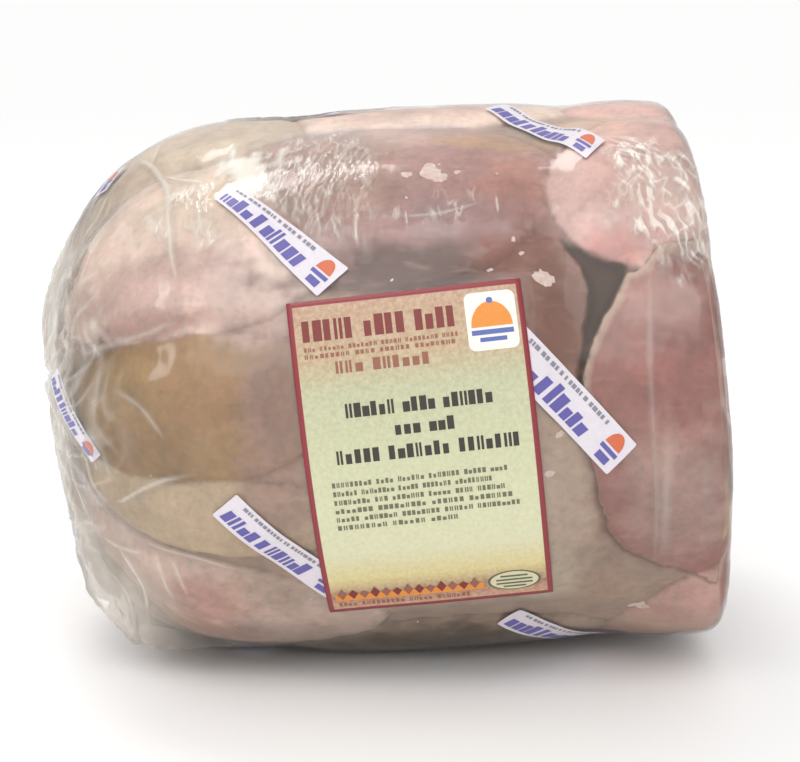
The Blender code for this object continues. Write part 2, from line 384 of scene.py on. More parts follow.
STAINS_AND_SHADES = (
    # Painted shade: the dark strip on the underside of the upper left tongue
    StainAndShade(-0.056, 24, 0.022, 0.005, 8, srgb(164, 122, 114), 0.75),
    StainAndShade(-0.056, 33, 0.03, 0.0095, 6, srgb(186, 157, 150), 0.8),
    StainAndShade(-0.03, 24, 0.012, 0.006, 10, srgb(198, 170, 160), 0.6),
    StainAndShade(-0.03, -48, 0.022, 0.007, 0, srgb(140, 112, 102), 0.5),
    StainAndShade(0.004, 72, 0.02, 0.008, 0, srgb(204, 176, 166), 0.6),
    StainAndShade(0.073, -14, 0.015, 0.022, 0, srgb(176, 147, 137), 0.7),
    StainAndShade(0.07, 26, 0.012, 0.007, 0, srgb(180, 146, 137), 0.6),
    StainAndShade(-0.042, -38, 0.012, 0.011, 40, srgb(176, 130, 118), 0.75),
    StainAndShade(-0.046, -52, 0.02, 0.009, 0, srgb(164, 124, 110), 0.6),
    StainAndShade(-0.028, -32, 0.012, 0.01, 0, srgb(160, 138, 122), 0.6),
    StainAndShade(-0.048, 56, 0.016, 0.014, 0, srgb(228, 208, 182), 0.5),
    StainAndShade(-0.029, 27, 0.013, 0.01, 0, srgb(196, 172, 162), 0.8),
    StainAndShade(-0.006, 58, 0.016, 0.02, 0, srgb(176, 148, 134), 0.6),
    # Painted shade: the dark band where the middle tongue's underside rolls into the crease above the label
    StainAndShade(0.01, 34, 0.034, 0.0085, 0, srgb(94, 62, 52), 0.95, True),
    StainAndShade(0.036, 41, 0.015, 0.015, 20, srgb(150, 94, 82), 0.85, True),
    StainAndShade(0.042, 24, 0.014, 0.022, 10, srgb(126, 84, 70), 0.95, True),
    StainAndShade(0.034, 54, 0.012, 0.01, -20, srgb(182, 132, 118), 0.7, True),
    StainAndShade(0.03, 68, 0.016, 0.006, -10, srgb(196, 162, 124), 0.6, True),
    StainAndShade(0.062, 38, 0.013, 0.006, 20, srgb(198, 142, 134), 0.75),
    StainAndShade(0.05, 50, 0.008, 0.012, 0, srgb(206, 176, 168), 0.7),
    StainAndShade(0.018, 45, 0.022, 0.007, 0, srgb(176, 150, 150), 0.45),
    StainAndShade(0.0735, 4.2, 0.0018, 0.0042, 20, RED, 0.65),
    StainAndShade(0.064, 10, 0.0009, 0.0035, 20, RED, 0.35),
    StainAndShade(0.067, 8.6, 0.001, 0.0012, 0, RED, 0.35),
    StainAndShade(0.046, -16, 0.01, 0.026, 0, srgb(184, 163, 145), 0.9, True),
    StainAndShade(0.044, -34, 0.008, 0.01, 0, srgb(184, 170, 150), 0.7, True),
    StainAndShade(0.02, -60, 0.034, 0.013, 0, srgb(80, 62, 42), 0.9),
    StainAndShade(0.062, -57, 0.02, 0.006, 0, srgb(198, 174, 154), 0.7),
    StainAndShade(-0.06, 10, 0.014, 0.012, 0, srgb(160, 132, 92), 0.7),
    StainAndShade(-0.044, 10, 0.012, 0.012, 0, srgb(164, 126, 92), 0.5),
    StainAndShade(-0.024, 8, 0.01, 0.018, 0, srgb(156, 126, 113), 0.9),
    StainAndShade(-0.024, -10, 0.012, 0.014, 0, srgb(166, 136, 122), 0.8),
    StainAndShade(0.01, 96, 0.03, 0.016, 0, srgb(206, 174, 162), 0.7),
    StainAndShade(0.056, 76, 0.014, 0.01, 0, srgb(224, 188, 164), 0.7),
    StainAndShade(-0.05, 72, 0.03, 0.01, 0, srgb(208, 192, 170), 0.5),
)

# Outlines of the two right tongues and of the sunken wedge between them, painted dark as shade, as x in
# millimetres and angle
LARGE_TONGUE = (
    (50.2, 8.0), (50.4, 11.8), (51.4, 15.7), (52.7, 18.7), (54.2, 21.1), (55.2, 23.4), (57.4, 25.0),
    (59.0, 27.5), (60.6, 30.3), (61.6, 32.4), (66.2, 33.0), (68.5, 35.9), (71.8, 37.7), (78.6, 38.8),
    (98.0, 40.0), (98.0, -39.0), (82.5, -36.3), (71.7, -31.9), (63.6, -27.0), (58.1, -20.9),
    (55.2, -14.8), (53.9, -9.3), (52.2, -3.2), (50.6, 2.6),
)
UPPER_TONGUE = (
    (47.3, 60.9), (44.0, 57.0), (42.2, 52.9), (42.0, 49.1), (43.6, 45.6), (45.6, 42.0), (48.4, 39.0),
    (52.2, 36.3), (56.1, 34.6), (60.2, 33.6), (66.2, 33.2), (68.5, 36.1), (71.8, 37.9), (78.6, 39.0),
    (98.0, 40.2), (98.0, 80.0), (72.0, 80.0), (60.0, 75.0), (52.0, 67.5),
)
WEDGE = (
    (45.5, 39.9), (48.2, 38.5), (51.5, 36.9), (54.6, 34.9), (58.8, 34.1), (61.9, 33.2), (60.8, 30.3),
    (59.2, 27.5), (57.6, 25.2), (55.4, 23.4), (54.4, 21.1), (52.9, 18.7), (51.6, 15.7), (50.6, 11.8),
    (50.2, 8.0), (49.3, 9.5), (48.8, 13.9), (49.9, 18.1), (50.9, 21.8), (51.9, 25.6), (51.9, 29.0),
    (51.0, 32.4), (48.0, 36.2),
)
WEDGE_DEPTH = 0.003
# Painted shade: the dark colour of the recess between the right tongues and of the shadow line along their
# edges
HOLLOW_SHADE_COLOUR = srgb(54, 34, 20)
RIM_COLOUR = srgb(204, 184, 164)
STRAND_COLOUR = srgb(220, 196, 184)
RIM_HEIGHTS = (0.072, 0.082)
# Painted shadow: the line along the tongues' edges is strong below the first height and faint above the
# second
SHADOW_SEAM_HEIGHTS = (0.104, 0.122)

# How uneven the tongues' outlines are, and the creases between them
COARSE_WOBBLE = 0.0009
FINE_WOBBLE = 0.0003
EDGE_SOFTNESS = 0.00028
CREASE_WIDTH = 0.0003
CREASE_DEPTH = 0.0012
# Painted shade: the colour is darkened in the creases where two tongues meet
CREASE_SHADE_TINT = np.array([0.55, 0.47, 0.44])
CREASE_SHADE_STRENGTH = 0.62
# Painted shade: the meat's colour darkens towards the floor, where the loaf's underside is in shadow
PAINTED_LOW_SHADE = np.array([0.4, 0.42, 0.48])
PAINTED_LOW_SHADE_HEIGHT = 0.026

# Where the film stands off the meat: at the gathered end, and in a pocket low on the left
GATHER_GAP = 0.004
POCKET = (-0.069, -52, 0.015, 0.018, 0)
POCKET_GAP = 0.0065
FLARE = (-0.063, -61, 0.017, 0.015, 0)
FLARE_REACH = 0.006


def meat_form(skin):
    """The meat's colour, with painted shade in its creases and a few patches, grain, depth and unevenness,
    and its distances from the outlines above.
    """
    coarse = field(skin.places, 55.0, 1.0, 2)
    fine = field(skin.places, 190.0, 2.0, 3)
    across = field(skin.places, 60.0, 3.0, 2)
    x = skin.x + COARSE_WOBBLE * coarse + FINE_WOBBLE * fine
    angle = skin.angle + np.degrees((COARSE_WOBBLE * across + FINE_WOBBLE * fine) / RADIUS)
    lobes = all_lobes()
    edges = [outline_distance(x, angle, outline) for outline in (LARGE_TONGUE, UPPER_TONGUE)]
    heights = [np.zeros(len(x))]
    for number, lobe in enumerate(lobes):
        away = patch_distance(x, angle, *lobe[:5])
        if number < len(edges):
            away = np.maximum(0.0, 1.0 + edges[number] / lobe.length)
        q = 1.0 - away**2
        beyond = -0.004 * np.minimum(-q, 1.0)
        heights.append(np.where(q > 0.0, lobe.lift * np.sqrt(np.maximum(q, 0.0)), beyond))
    weights, crease = shares_and_creases(heights, EDGE_SOFTNESS, CREASE_WIDTH)
    colour = weights.T @ np.array([JELLY, *[lobe.colour for lobe in lobes]])
    grain = weights.T @ np.array([0.3, *[lobe.grain for lobe in lobes]])
    for stain_and_shade in STAINS_AND_SHADES:
        away = patch_distance(x, angle, *stain_and_shade[:5])
        share = stain_and_shade.strength * (1.0 - smoothstep(0.45, 1.35, away + 0.3 * fine))
        if stain_and_shade.open_only:
            share = share * (1.0 - weights[1] - weights[2])
        colour = colour + (stain_and_shade.colour - colour) * share[:, None]
    # Painted shade in the creases between the tongues
    colour = colour + (colour * CREASE_SHADE_TINT - colour) * (CREASE_SHADE_STRENGTH * crease)[:, None]
    depth = MEAT_DEPTH + CREASE_DEPTH * crease - 0.00018 * fine * (0.4 + grain) - 0.00012 * coarse
    wedge = outline_distance(x, angle, WEDGE)
    depth = depth + WEDGE_DEPTH * (1.0 - smoothstep(-0.0025, 0.0003, wedge))
    return colour, grain, depth, fine, {"wedge": wedge, "edge": edges[0], "shadow_seam": np.minimum(*edges)}


# The cut face's tongues, cut across: y, z from the axis, half width, half height, turn, colour
FACE_TONGUES = (
    (-0.05, 0.006, 0.022, 0.034, 10, PINK),
    (-0.024, 0.046, 0.034, 0.021, 30, PALE),
    (0.024, 0.047, 0.03, 0.02, -25, MAUVE),
    (0.052, 0.012, 0.02, 0.03, -15, PINK),
    (-0.008, 0.01, 0.026, 0.019, 20, ROSE),
    (0.04, -0.034, 0.026, 0.022, 35, PALE),
    (-0.036, -0.04, 0.027, 0.02, -35, PINK),
    (0.004, -0.052, 0.026, 0.017, 5, MAUVE),
    (0.012, -0.02, 0.028, 0.015, -15, BLUSH),
)
FACE_WOBBLE = 0.0025
AMBER = srgb(176, 142, 112)
RIND = srgb(226, 204, 190)


def face_form(skin):
    """Colour and crease of the cut face, where the tongues show in section."""
    y = skin.places[:, 1] + FACE_WOBBLE * field(skin.places, 45.0, 6.0, 2)
    z = skin.places[:, 2] - axis_height(CUT_X) + FACE_WOBBLE * field(skin.places, 45.0, 7.0, 2)
    heights = [np.full(len(y), -0.12)]
    for middle_y, middle_z, width, height, turn, _ in FACE_TONGUES:
        a, b = rotated(y - middle_y, z - middle_z, turn)
        heights.append(1.0 - np.hypot(a / width, b / height))
    weights, crease = shares_and_creases(heights, 0.02, 0.03)
    rind = np.exp(-(((np.max(heights, axis=0) - 0.06) / 0.035) ** 2))
    colour = weights.T @ np.array([AMBER, *[tongue[5] for tongue in FACE_TONGUES]])
    colour = colour + (RIND - colour) * (0.45 * rind * (1.0 - crease))[:, None]
    return colour * (1.0 - 0.25 * crease)[:, None], crease


def make_meat(skin):
    colour, grain, depth, fine, distances = meat_form(skin)
    side_end = len(skin.run) - len(FACE_SHARES)
    rim_start = skin.run[side_end - RIM_ROWS]
    on_face = smoothstep(0.7, 0.99, (skin.s - rim_start) / (skin.run[side_end] - rim_start))
    face_colour, face_crease = face_form(skin)
    colour = colour + (face_colour - colour) * on_face[:, None]
    depth = depth * (1.0 - on_face) + (MEAT_DEPTH + 0.0006 * face_crease) * on_face
    depth += GATHER_GAP * smoothstep(0.08, 0.106, -skin.s) * (1.0 + 0.4 * fine)
    depth += POCKET_GAP * np.exp(-(patch_distance(skin.x, skin.angle, *POCKET) ** 2))
    grain = grain * (1.0 - on_face) + 0.35 * on_face
    # Painted shade: darker colour low down, near the floor
    low = 1.0 - smoothstep(0.0, PAINTED_LOW_SHADE_HEIGHT, skin.places[:, 2])
    colour = colour * (1.0 - PAINTED_LOW_SHADE * low[:, None])
    under = skin.moved(-depth, MEAT_LEAST)
    data = under.mesh("meat")
    store(data, "tint", colour)
    store(data, "grain", grain)
    for name, distance in distances.items():
        store(data, name, np.clip(distance * 1000.0, -4.0, 4.0) + 8.0 * on_face)
    return link("meat", data, meat_material()), under


def store(data, name, values):
    """Keeps a number or a colour for every vertex; the two middles take their neighbours' mean."""
    ends = [values[:FRONT_COLUMNS].mean(axis=0), values[-FRONT_COLUMNS:].mean(axis=0)]
    full = np.concatenate([values, np.array(ends)])
    if values.ndim == 1:
        data.attributes.new(name, "FLOAT", "POINT").data.foreach_set("value", full)
    else:
        full = np.column_stack([full, np.ones(len(full))])
        data.attributes.new(name, "FLOAT_COLOR", "POINT").data.foreach_set("color", full.ravel())


def link(name, data, material=None):
    made = bpy.data.objects.new(name, data)
    if material:
        data.materials.append(material)
    bpy.context.scene.collection.objects.link(made)
    return made


class Sheet:
    """Vertices and faces of a thin piece, and the milkiness of its film, which also paints highlights."""

    def __init__(self):
        self.vertices, self.faces, self.milk_and_highlights = [], [], []


def add_grid(mesh, points, rows, closed=False):
    """Adds a grid of points, row after row, with its quads, and gives the numbers of its last row."""
    here = len(mesh.vertices) + np.arange(len(points)).reshape(rows, -1)
    mesh.vertices.extend(points.tolist())
    last = here[-1]
    ahead = np.roll(here, -1, axis=1)
    if not closed:
        here, ahead = here[:, :-1], ahead[:, :-1]
    quads = np.stack([here[:-1], ahead[:-1], ahead[1:], here[1:]], axis=-1)
    mesh.faces.extend(quads.reshape(-1, 4).tolist())
    return last


def add_fan(mesh, ring, point):
    """Closes a ring of vertices with a point in its middle."""
    for here, ahead in zip(ring.tolist(), np.roll(ring, -1).tolist()):
        mesh.faces.append((here, ahead, len(mesh.vertices)))
    mesh.vertices.append(list(point))


def make_sheet(name, mesh, material):
    data = bpy.data.meshes.new(name)
    data.from_pydata(mesh.vertices, [], mesh.faces)
    data.update()
    if mesh.milk_and_highlights:
        haze_and_highlights = data.attributes.new("haze_and_highlights", "FLOAT", "POINT").data
        haze_and_highlights.foreach_set("value", np.clip(mesh.milk_and_highlights, 0.0, 0.94))
    facing_out(data)
    data.shade_smooth()
    return link(name, data, material)


# Materials


class Nodes:
    """Small helper that adds nodes to a material and joins them."""

    def __init__(self, name):
        self.material = bpy.data.materials.new(name)
        self.material.use_nodes = True
        self.tree = self.material.node_tree
        self.tree.nodes.clear()

    def add(self, kind, sockets=None, **settings):
        """Adds a node with its settings; each socket gets a value or another node's output."""
        node = self.tree.nodes.new(kind)
        for key, value in settings.items():
            setattr(node, key, value)
        for key, value in (sockets or {}).items():
            target = node.inputs[key]
            if isinstance(value, bpy.types.NodeSocket):
                self.tree.links.new(value, target)
            elif target.type == "RGBA" and len(value) == 3:
                target.default_value = (*value, 1.0)
            else:
                target.default_value = value
        return node

    def principled(self, **sockets):
        named = {key.replace("_", " "): value for key, value in sockets.items()}
        return self.add("ShaderNodeBsdfPrincipled", named).outputs[0]

    def math(self, operation, first, second, clamp=False):
        sockets = {0: first, 1: second}
        return self.add("ShaderNodeMath", sockets, operation=operation, use_clamp=clamp).outputs[0]

    def times(self, first, second):
        return self.math("MULTIPLY", first, second)

    def plus(self, first, second):
        return self.math("ADD", first, second)

    def noise(self, scale, detail=4.0, roughness=0.6, vector=None):
        place = self.position() if vector is None else vector
        sockets = {"Scale": scale, "Detail": detail, "Roughness": roughness, "Vector": place}
        return self.add("ShaderNodeTexNoise", sockets).outputs["Fac"]

    def position(self):
        return self.add("ShaderNodeTexCoord").outputs["Object"]

    def stretched(self, scale, turn=(0.0, 0.0, 0.0)):
        sockets = {"Vector": self.position(), "Scale": scale, "Rotation": turn}
        return self.add("ShaderNodeMapping", sockets).outputs[0]

    def split(self, vector):
        return self.add("ShaderNodeSeparateXYZ", {0: vector}).outputs

    def between(self, value, low, high, to_low, to_high):
        names = ("Value", "From Min", "From Max", "To Min", "To Max")
        sockets = dict(zip(names, (value, low, high, to_low, to_high)))
        return self.add("ShaderNodeMapRange", sockets).outputs[0]

    def spread(self, noise, low, high):
        """Brings a noise, which mostly lies between 0.3 and 0.7, to a range of its own."""
        return self.between(noise, 0.3, 0.7, low, high)

    def mix(self, share, first, second, blend="MIX"):
        sockets = {0: share, 6: first, 7: second}
        return self.add("ShaderNodeMix", sockets, data_type="RGBA", blend_type=blend).outputs[2]

    def scaled(self, colour, factor):
        """A colour times a number, which may be over 1."""
        return self.add("ShaderNodeVectorMath", {0: colour, "Scale": factor}, operation="SCALE").outputs[0]

    def bump(self, height, strength, distance):
        sockets = {"Height": height, "Strength": strength, "Distance": distance}
        return self.add("ShaderNodeBump", sockets).outputs[0]

    def attribute(self, name, output="Fac"):
        return self.add("ShaderNodeAttribute", attribute_name=name).outputs[output]

    def mixed_shader(self, share, first, second):
        return self.add("ShaderNodeMixShader", {0: share, 1: first, 2: second}).outputs[0]

    def finish(self, shader):
        self.add("ShaderNodeOutputMaterial", {"Surface": shader})
        return self.material


def meat_material():
    """Cooked tongue meat: mottled, faintly fibrous, moist and a little see-through, with painted shade in the
    wedge and along the tongues' edges.
    """
    n = Nodes("pressed_meat")
    grain = n.attribute("grain")
    mottle = n.noise(90.0, 7.0, 0.68)
    speck = n.noise(480.0, 4.0, 0.65)
    strands = n.noise(1.0, 4.0, 0.6, n.stretched((140.0, 420.0, 420.0), (0.2, 0.3, 0.5)))
    shade = n.times(n.spread(mottle, 0.8, 1.18), n.spread(speck, 0.84, 1.16))
    shade = n.times(shade, n.spread(n.noise(34.0, 5.0, 0.62), 0.9, 1.1))
    colour = n.scaled(n.attribute("tint", "Color"), shade)
    warmer = n.mix(1.0, colour, (0.86, 0.68, 0.64), "MULTIPLY")
    colour = n.mix(n.between(speck, 0.45, 0.7, 0.0, 0.35), colour, warmer)
    pale = n.times(n.between(strands, 0.55, 0.75, 0.0, 0.4), grain)
    colour = n.mix(pale, colour, STRAND_COLOUR)
    # The outlines' distances are in millimetres, and a wobble keeps their edges uneven
    wobble = n.spread(n.noise(230.0, 4.0, 0.6), -0.65, 0.65)
    height = n.split(n.position())["Z"]
    edge = n.plus(n.attribute("edge"), wobble)
    rim = n.times(n.between(edge, -2.6, -0.4, 0.0, 0.8), n.between(edge, -0.1, 0.1, 1.0, 0.0))
    colour = n.mix(n.times(rim, n.between(height, *RIM_HEIGHTS, 0.0, 1.0)), colour, RIM_COLOUR)
    # Painted shadow: a dark line just outside the tongues' edges, stronger lower down, where the upper
    # tongue's edge overhangs
    shadow_seam = n.plus(n.attribute("shadow_seam"), wobble)
    line = n.times(n.between(shadow_seam, -0.3, 0.2, 0.0, 1.0), n.between(shadow_seam, 0.2, 1.8, 1.0, 0.0))
    colour = n.mix(n.times(line, n.between(height, *SHADOW_SEAM_HEIGHTS, 0.55, 0.18)), colour, HOLLOW_SHADE_COLOUR)
    # Painted shade: the sunken wedge between the two right tongues is darkened
    wedge = n.plus(n.attribute("wedge"), wobble)
    colour = n.mix(n.between(wedge, -0.5, 0.5, 0.88, 0.0), colour, HOLLOW_SHADE_COLOUR)
    relief = n.plus(n.times(n.noise(260.0, 5.0, 0.6), grain), n.times(speck, 0.25))
    return n.finish(
        n.principled(
            Base_Color=colour,
            Roughness=n.spread(mottle, 0.38, 0.55),
            Subsurface_Weight=0.12,
            Subsurface_Radius=(0.004, 0.0018, 0.0012),
            Subsurface_Scale=1.0,
            Specular_IOR_Level=n.between(wedge, -0.5, 0.5, 0.05, 0.4),
            Normal=n.bump(relief, 0.35, 0.0007),
        )
    )


def film_material(name, through):
    """Thin clear film: see-through, glossy, and milky where it is folded; the milky layer also paints glare
    and glints.
    """
    n = Nodes(name)
    ripple = n.noise(95.0, 2.0, 0.45, n.stretched((1.6, 1.0, 0.6)))
    normal = n.bump(ripple, 0.35, 0.0012)
    clear = n.add("ShaderNodeBsdfTransparent", {"Color": through}).outputs[0]
    gloss = {"Color": (1.0, 1.0, 1.0), "Roughness": 0.1, "Normal": normal}
    glossy = n.add("ShaderNodeBsdfGlossy", gloss).outputs[0]
    milk_and_highlight_layer = n.principled(Base_Color=MILK_AND_HIGHLIGHT_COLOUR, Roughness=0.3, Normal=normal)
    facing = n.add("ShaderNodeLayerWeight", {"Blend": 0.22, "Normal": normal}).outputs["Fresnel"]
    shine = n.math("ADD", n.times(facing, 0.7), 0.01, True)
    return n.finish(n.mixed_shader(n.attribute("haze_and_highlights"), n.mixed_shader(shine, clear, glossy), milk_and_highlight_layer))


def ink(name, colour, roughness=0.4, mottle=0.06):
    """A printed colour, a little uneven."""
    n = Nodes(name)
    tone = n.scaled(tuple(colour), n.spread(n.noise(700.0, 2.0, 0.5), 1.0 - mottle, 1.0))
    return n.finish(n.principled(Base_Color=tone, Roughness=roughness, Specular_IOR_Level=0.4))


# The clear film's folds that show in front: width, height, milkiness, which also paints their highlights,
# then places along the fold
FRONT_FOLDS = (
    (0.00096, 0.00021, 0.39, ((-0.066, 82), (-0.062, 76), (-0.057, 68), (-0.053, 57), (-0.052, 48),
        (-0.05, 37), (-0.0475, 31))),
    (0.00066, 0.00016, 0.37, ((-0.058, 70), (-0.051, 62), (-0.045, 58.4), (-0.042, 56))),
    (0.00066, 0.0001, 0.24, ((-0.0585, 86), (-0.0594, 70))),
    (0.0006, 0.00012, 0.42, ((-0.0452, 54), (-0.0442, 48), (-0.0424, 41))),
    (0.00054, 0.0001, 0.31, ((-0.0492, 59), (-0.047, 51))),
    (0.00048, 0.00009, 0.26, ((-0.04, 55), (-0.0385, 50))),
    (0.00054, 0.00009, 0.26, ((-0.056, 52), (-0.0545, 44), (-0.052, 41))),
    (0.00072, 0.00014, 0.26, ((-0.0806, 39.5), (-0.0795, 66), (-0.0737, 70), (-0.069, 76.5))),
    (0.00066, 0.00012, 0.26, ((-0.083, 31), (-0.081, 43.6), (-0.077, 59))),
    (0.00072, 0.00018, 0.29, ((-0.0784, 8), (-0.076, -0.5), (-0.0743, -14.5), (-0.071, -19.5),
        (-0.0668, -19.4))),
    (0.00072, 0.00019, 0.29, ((-0.0672, -19.6), (-0.063, -16.4), (-0.058, -12), (-0.0515, -8.2),
        (-0.043, -5.6))),
    (0.00072, 0.00016, 0.29, ((-0.0813, 4.3), (-0.0816, -13.7), (-0.08, -28.6), (-0.0755, -33),
        (-0.07, -33.5))),
    (0.0006, 0.00014, 0.26, ((-0.0736, -34), (-0.065, -31.6), (-0.058, -29.6))),
    (0.00066, 0.00018, 0.34, ((-0.069, -30.5), (-0.0625, -35), (-0.0596, -40), (-0.0598, -50))),
    (0.0006, 0.00012, 0.24, ((-0.0595, -27), (-0.0537, -26.4), (-0.0453, -26), (-0.0404, -26.7),
        (-0.03, -28.4))),
    (0.0006, 0.0001, 0.19, ((-0.052, -28), (-0.0498, -32), (-0.0475, -37))),
    (0.0006, 0.0001, 0.21, ((-0.056, -28), (-0.0545, -33), (-0.051, -40))),
    (0.00078, 0.0001, 0.21, ((-0.083, 17.4), (-0.0664, 20.3), (-0.0553, 22.3), (-0.0476, 25))),
    (0.00042, 0.00007, 0.29, ((0.004, 45.0), (0.0155, 45.3), (0.028, 47.8))),
    (0.00048, 0.00012, 0.53, ((-0.0045, 47.0), (-0.0048, 43), (-0.0045, 39.0))),
    (0.0003, 0.00009, 0.48, ((0.0074, 46.5), (0.0079, 42.5))),
    (0.00036, 0.00009, 0.45, ((0.03, 49.5), (0.0304, 44.6))),
    (0.0006, 0.0001, 0.21, ((-0.0658, 9.9), (-0.0576, 6.5), (-0.0505, 0))),
    (0.00072, 0.00014, 0.29, ((-0.0758, -38.5), (-0.0695, -40.7), (-0.0644, -44.2), (-0.064, -60))),
    (0.00066, 0.00014, 0.29, ((-0.07, -44), (-0.0665, -52), (-0.062, -56), (-0.056, -62))),
    (0.00054, 0.00004, 0.14, ((0.0672, 33), (0.0663, 15), (0.0674, 0), (0.069, -14), (0.0707, -40))),
)

# Milky places of the film: x, angle, half length, half width, turn, milkiness
HAZES = (
    (-0.07, -50, 0.014, 0.02, 0, 0.5),
    (0.074, 50, 0.01, 0.014, 20, 0.1),
    (-0.05, 52, 0.012, 0.012, 0, 0.14),
    (0.0712, -12, 0.0012, 0.016, 2, 0.16),
    (-0.01, 74, 0.03, 0.01, 0, 0.12),
)
# The bright patch of glare on the upper left: the same values, with a ragged edge
GLARES = ((-0.033, 60.5, 0.0062, 0.0115, 22, 0.8), (-0.0245, 64.5, 0.0016, 0.0095, -6, 0.62))

RIDGE_ACROSS = (-2.1, -1.25, -0.75, -0.35, 0.0, 0.35, 0.75, 1.25, 2.1)
RIDGE_STEP = 0.0006
RIDGE_SINK = 0.00004
FOLD_MARGIN = 0.002
# Colour of the milky film, which also stands in for painted highlights on folds and crinkles
MILK_AND_HIGHLIGHT_COLOUR = (0.93, 0.885, 0.8)
# Beyond this angle to either side no fold can meet the label
LABEL_SIDE = 80.0


def drawn_out(along, angle, turn, wide, long, seed):
    """Noise drawn out round the loaf and turned by an angle, from how wide and long its forms are."""
    across, down = rotated(along, arc(angle), turn)
    places = np.stack([across / wide, down / long, np.full(len(along), 3.1 * seed)], axis=1)
    return field(places, 1.0, seed, 2)


def streaks(*form):
    """Wavy lines from 0 to 1."""
    return np.clip(1.0 - 3.4 * np.abs(drawn_out(*form)), 0.0, 1.0)


def strokes(*form):
    """Short soft strokes from 0 to 1."""
    return smoothstep(-0.12, 0.42, drawn_out(*form))


def crinkled_corner(x, angle, points):
    """Curly folds at the upper right, over the tip of the tongue, with painted highlights on their milky
    strokes.
    """
    bend = 0.0016 * field(points, 150.0, 31.0, 2)
    ragged = field(points, 120.0, 32.0, 2)
    away = patch_distance(x, angle, 0.0725, 48, 0.0125, 0.02, 18)
    share = 1.0 - smoothstep(0.55, 1.25, away + 0.45 * ragged)
    away = patch_distance(x, angle, 0.064, 60, 0.011, 0.006, -12)
    upper = 1.0 - smoothstep(0.5, 1.2, away + 0.4 * ragged)
    steep = strokes(x + bend, angle, 22, 0.0014, 0.0058, 33.0)
    leaning = streaks(x - bend, angle, -20, 0.0034, 0.01, 34.0)
    level = strokes(x + 0.5 * bend, angle, 68, 0.0012, 0.007, 35.0)
    gate = smoothstep(-0.55, 0.2, field(points, 130.0, 36.0, 2))
    milk_and_highlights = share * (0.12 + 0.5 * steep * (0.55 + 0.45 * gate) + 0.3 * leaning**1.4) + 0.34 * upper * level
    rise = 0.00036 * share * (steep * gate + 0.5 * leaning) + 0.00014 * upper * level
    return milk_and_highlights, rise


def wrinkled_top(x, angle, points):
    """Fine wrinkles over the middle tongue's upper left, and a row of short upright glints below them, the
    glints painted as milky film.
    """
    bend = 0.0011 * field(points, 170.0, 41.0, 2)
    ragged = field(points, 90.0, 42.0, 2)
    away = patch_distance(x, angle, -0.0165, 58, 0.0165, 0.025, 0)
    share = 1.0 - smoothstep(0.45, 1.3, away + 0.35 * ragged)
    upright = streaks(x + 0.7 * bend, angle, 10, 0.0016, 0.012, 43.0)
    leaning = streaks(x - 0.7 * bend, angle, -16, 0.0022, 0.011, 44.0)
    glint = streaks(x + 0.3 * bend, angle, 2, 0.003, 0.01, 45.0) ** 3
    row = np.exp(-(((angle - 45.5 - 120.0 * (x - 0.01)) / 4.5) ** 2)) * smoothstep(-0.02, -0.008, x)
    row = row * (1.0 - smoothstep(0.03, 0.044, x)) * smoothstep(-0.1, 0.3, field(points, 140.0, 46.0, 1))
    broken = smoothstep(-0.3, 0.3, field(points, 240.0, 47.0, 1))
    milk_and_highlights = share * (0.06 + 0.42 * upright**1.2 * broken + 0.28 * leaning**1.5) + 0.5 * row * glint * broken
    away = patch_distance(x, angle, -0.049, 51, 0.015, 0.02, 0)
    lobe = 1.0 - smoothstep(0.5, 1.2, away + 0.4 * ragged)
    flecks = smoothstep(0.05, 0.45, field(points, 130.0, 48.0, 2))
    patch = 0.06 + 0.34 * leaning**1.5 * flecks + 0.16 * flecks + 0.16 * upright**1.5 * broken
    rise = (0.00013 * share + 0.00008 * lobe) * (upright + leaning) + 0.00012 * row * glint
    return milk_and_highlights + lobe * patch, rise


def gathered_end(x, angle, points):
    """Folds round the dome that turn into pleats towards the gather."""
    bend = 0.003 * field(points, 55.0, 51.0, 2)
    out = np.hypot(points[:, 1], points[:, 2] - axis_height(x))
    share = 0.8 * smoothstep(0.066, 0.05, out) + 0.2 * smoothstep(0.072, 0.062, out)
    middle = smoothstep(0.03, 0.018, out)
    around = streaks(out + bend, angle, 8, 0.0072, 0.034, 52.0)
    slanting = streaks(out - bend, angle, -32, 0.0085, 0.03, 53.0)
    pleats = np.clip(1.0 - 2.6 * np.abs(np.sin(np.radians(angle * 17.0) + 90.0 * bend)), 0.0, 1.0)
    gate = smoothstep(-0.2, 0.4, field(points, 60.0, 54.0, 2))
    outer = share * (1.0 - middle)
    milk_and_highlights = outer * (0.36 * around**1.4 * gate + 0.22 * slanting**1.6) + 0.32 * middle * pleats
    rise = outer * (0.0005 * around * gate + 0.00035 * slanting) + 0.0005 * middle * pleats
    return milk_and_highlights, rise


def far_wrinkles(x, angle, points):
    """Patches of fine wrinkles over the far side."""
    bend = 0.0014 * field(points, 120.0, 61.0, 2)
    patches = smoothstep(0.05, 0.45, field(points, 26.0, 62.0, 2))
    upright = streaks(x + bend, angle, 12, 0.0026, 0.009, 63.0)
    leaning = streaks(x - bend, angle, -30, 0.003, 0.008, 64.0)
    milk_and_highlights = patches * (0.03 + 0.22 * upright**1.5 + 0.16 * leaning**2)
    return milk_and_highlights, 0.00016 * patches * (upright + leaning)


